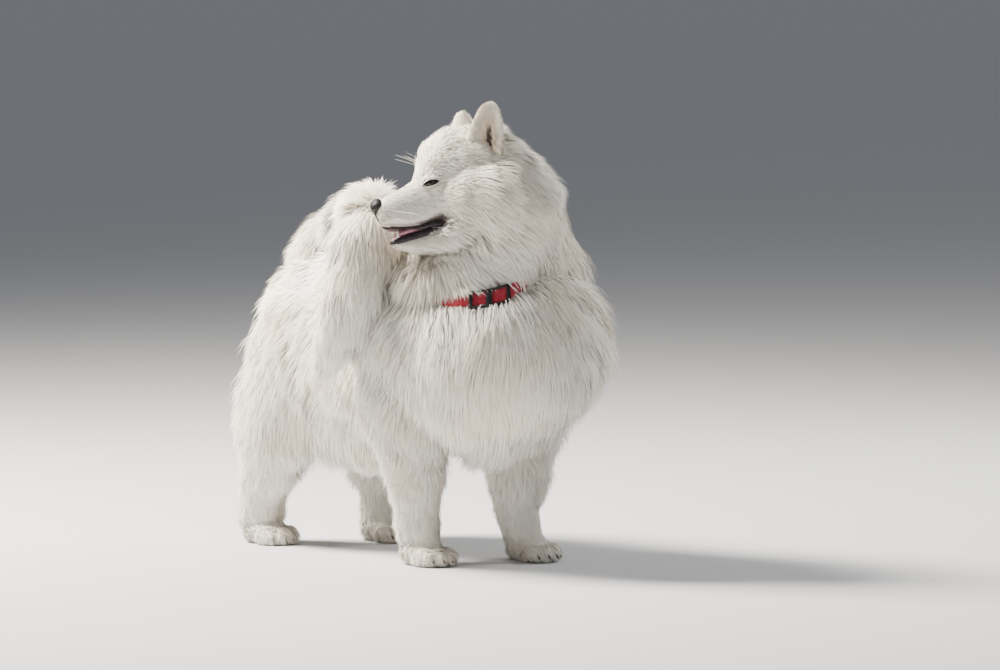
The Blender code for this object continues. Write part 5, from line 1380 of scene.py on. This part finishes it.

# Ear hair. Short and dense over the whole flap; long, silky and cream beside the opening, which is
# painted dark as shade, and from it the silky hair fans out upwards and backwards.
for side, flap in ears.items():
    root, tip, upward, facing, across = (np.array(part) for part in ear_frame(side))
    tall = np.linalg.norm(tip - root)

    def ear_density(places, normals):
        height = ((places - root) @ upward) / tall
        slit = from_slit(places)[0]
        inner = (normals @ facing) > 0.2
        hairy = np.where(inner & (slit < 0.012), 40.0, 70.0)
        return np.where((height < -0.2) | (inner & (slit < 0.0056)), 0.0, hairy) * thinning

    ear_roots, ear_normals, ear_chart = scatter(flap, ear_density)
    rise = ((ear_roots - root) @ upward) / tall
    slit, fan = from_slit(ear_roots)
    silky = ((ear_normals @ facing) > 0.2) & (slit < 0.011)
    fan = unit(fan + np.array([0.0, 0.004]))
    fan = np.array(FORWARD)[None] * fan[:, :1] + np.array(CROWN)[None] * fan[:, 1:]
    fan = fan * 0.8 + upward * 0.4 + facing * 0.2
    lie = np.where(silky[:, None], fan, upward + facing * 0.05)
    length = np.where(silky, 0.021, 0.014 - 0.005 * np.clip(rise, 0, 1))
    wide = np.where(silky, 0.0010, 0.0012)
    ear_field = np.column_stack([
        lie, length, np.full(len(length), 30.0), wide, np.ones(len(length))])
    ear_lines, ear_lengths = grow(ear_roots, ear_normals, ear_field)
    ear_lines = trimmed(draw_together(ear_lines, ear_roots, ear_lengths, 5, 0.4))
    ear_tone = draw.random(len(ear_roots))
    for part, chosen, steps, material in (
        ("coat_ear_", ~silky, (0, 2, 3), white_hair), ("silk_ear_", silky, (0, 1, 2, 3), silky_hair),
    ):
        tuft_mesh(part + SIDE_NAME[side], ear_lines[chosen][:, steps], ear_normals[chosen],
                  wide[chosen], ear_chart[chosen], ear_tone[chosen], material)

# Whiskers. A few stiff pale hairs on the muzzle and over the eyes, and dark ones by the corners of
# the mouth.
WHISKERS = [   # place on the head and direction, both as forward, up, left; length
    ((-0.026, -0.024, 0.021), (-0.25, -0.35, 0.90), 0.040),
    ((-0.033, -0.018, 0.027), (-0.35, -0.15, 0.92), 0.046),
    ((-0.034, -0.029, 0.025), (-0.35, -0.45, 0.82), 0.044),
    ((-0.043, -0.022, 0.030), (-0.50, -0.20, 0.85), 0.050),
    ((-0.045, -0.033, 0.027), (-0.50, -0.50, 0.72), 0.046),
    ((-0.053, -0.026, 0.032), (-0.60, -0.30, 0.75), 0.050),
    ((-0.098, 0.046, 0.020), (0.70, 0.55, 0.35), 0.050),
    ((-0.101, 0.049, 0.024), (0.62, 0.60, 0.45), 0.056),
    ((-0.104, 0.050, 0.029), (0.50, 0.62, 0.55), 0.046),
    ((-0.130, -0.040, 0.060), (-0.30, -0.50, 0.80), 0.036),
    ((-0.038, -0.087, 0.009), (0.20, -0.80, 0.50), 0.022),
    ((-0.046, -0.089, 0.012), (-0.10, -0.85, 0.50), 0.024),
]
CORNER_WHISKERS = [
    ((-0.072, -0.069, 0.029), (-0.45, -0.80, 0.35), 0.016),
    ((-0.080, -0.068, 0.031), (-0.55, -0.70, 0.35), 0.018),
    ((-0.088, -0.066, 0.034), (-0.55, -0.75, 0.30), 0.016),
    ((-0.096, -0.064, 0.036), (-0.65, -0.60, 0.30), 0.017),
    ((-0.066, -0.070, 0.027), (-0.30, -0.85, 0.40), 0.013),
]
WHISKER_WIDTH, WHISKER_ROOT = 0.00045, 0.004      # width, and how deep it sits in the skin
dark_bristle = pebbled(
    "dark_bristle", (0.03, 0.022, 0.020), (0.08, 0.06, 0.05), 300.0, 900.0, 0.0001)
bow = -UPRIGHT * 0.10 - FORWARD * 0.06
for name, rows, material in (
    ("whiskers", WHISKERS, white_hair), ("corner_whiskers", CORNER_WHISKERS, dark_bristle),
):
    stems, outs = [], []
    for spot, way, length in rows:
        for side in (-1, 1):
            aim_at = (FORWARD * way[0] + CROWN * way[1] + LEFTWARD * way[2] * side).normalized()
            start = on_head(spot[0], spot[1], spot[2] * side) - aim_at * WHISKER_ROOT
            stems.append([
                start + (aim_at * t + bow * t * t) * (length * draw.uniform(0.85, 1.1))
                for t in (0.0, 0.33, 0.66, 1.0)])
            outs.append(aim_at.cross(CROWN).normalized())
    tuft_mesh(name, np.array(stems), np.array(outs), np.full(len(stems), WHISKER_WIDTH),
              np.tile([0.01, 0.01], (len(stems), 1)), np.full(len(stems), 0.9), material, sides=3)
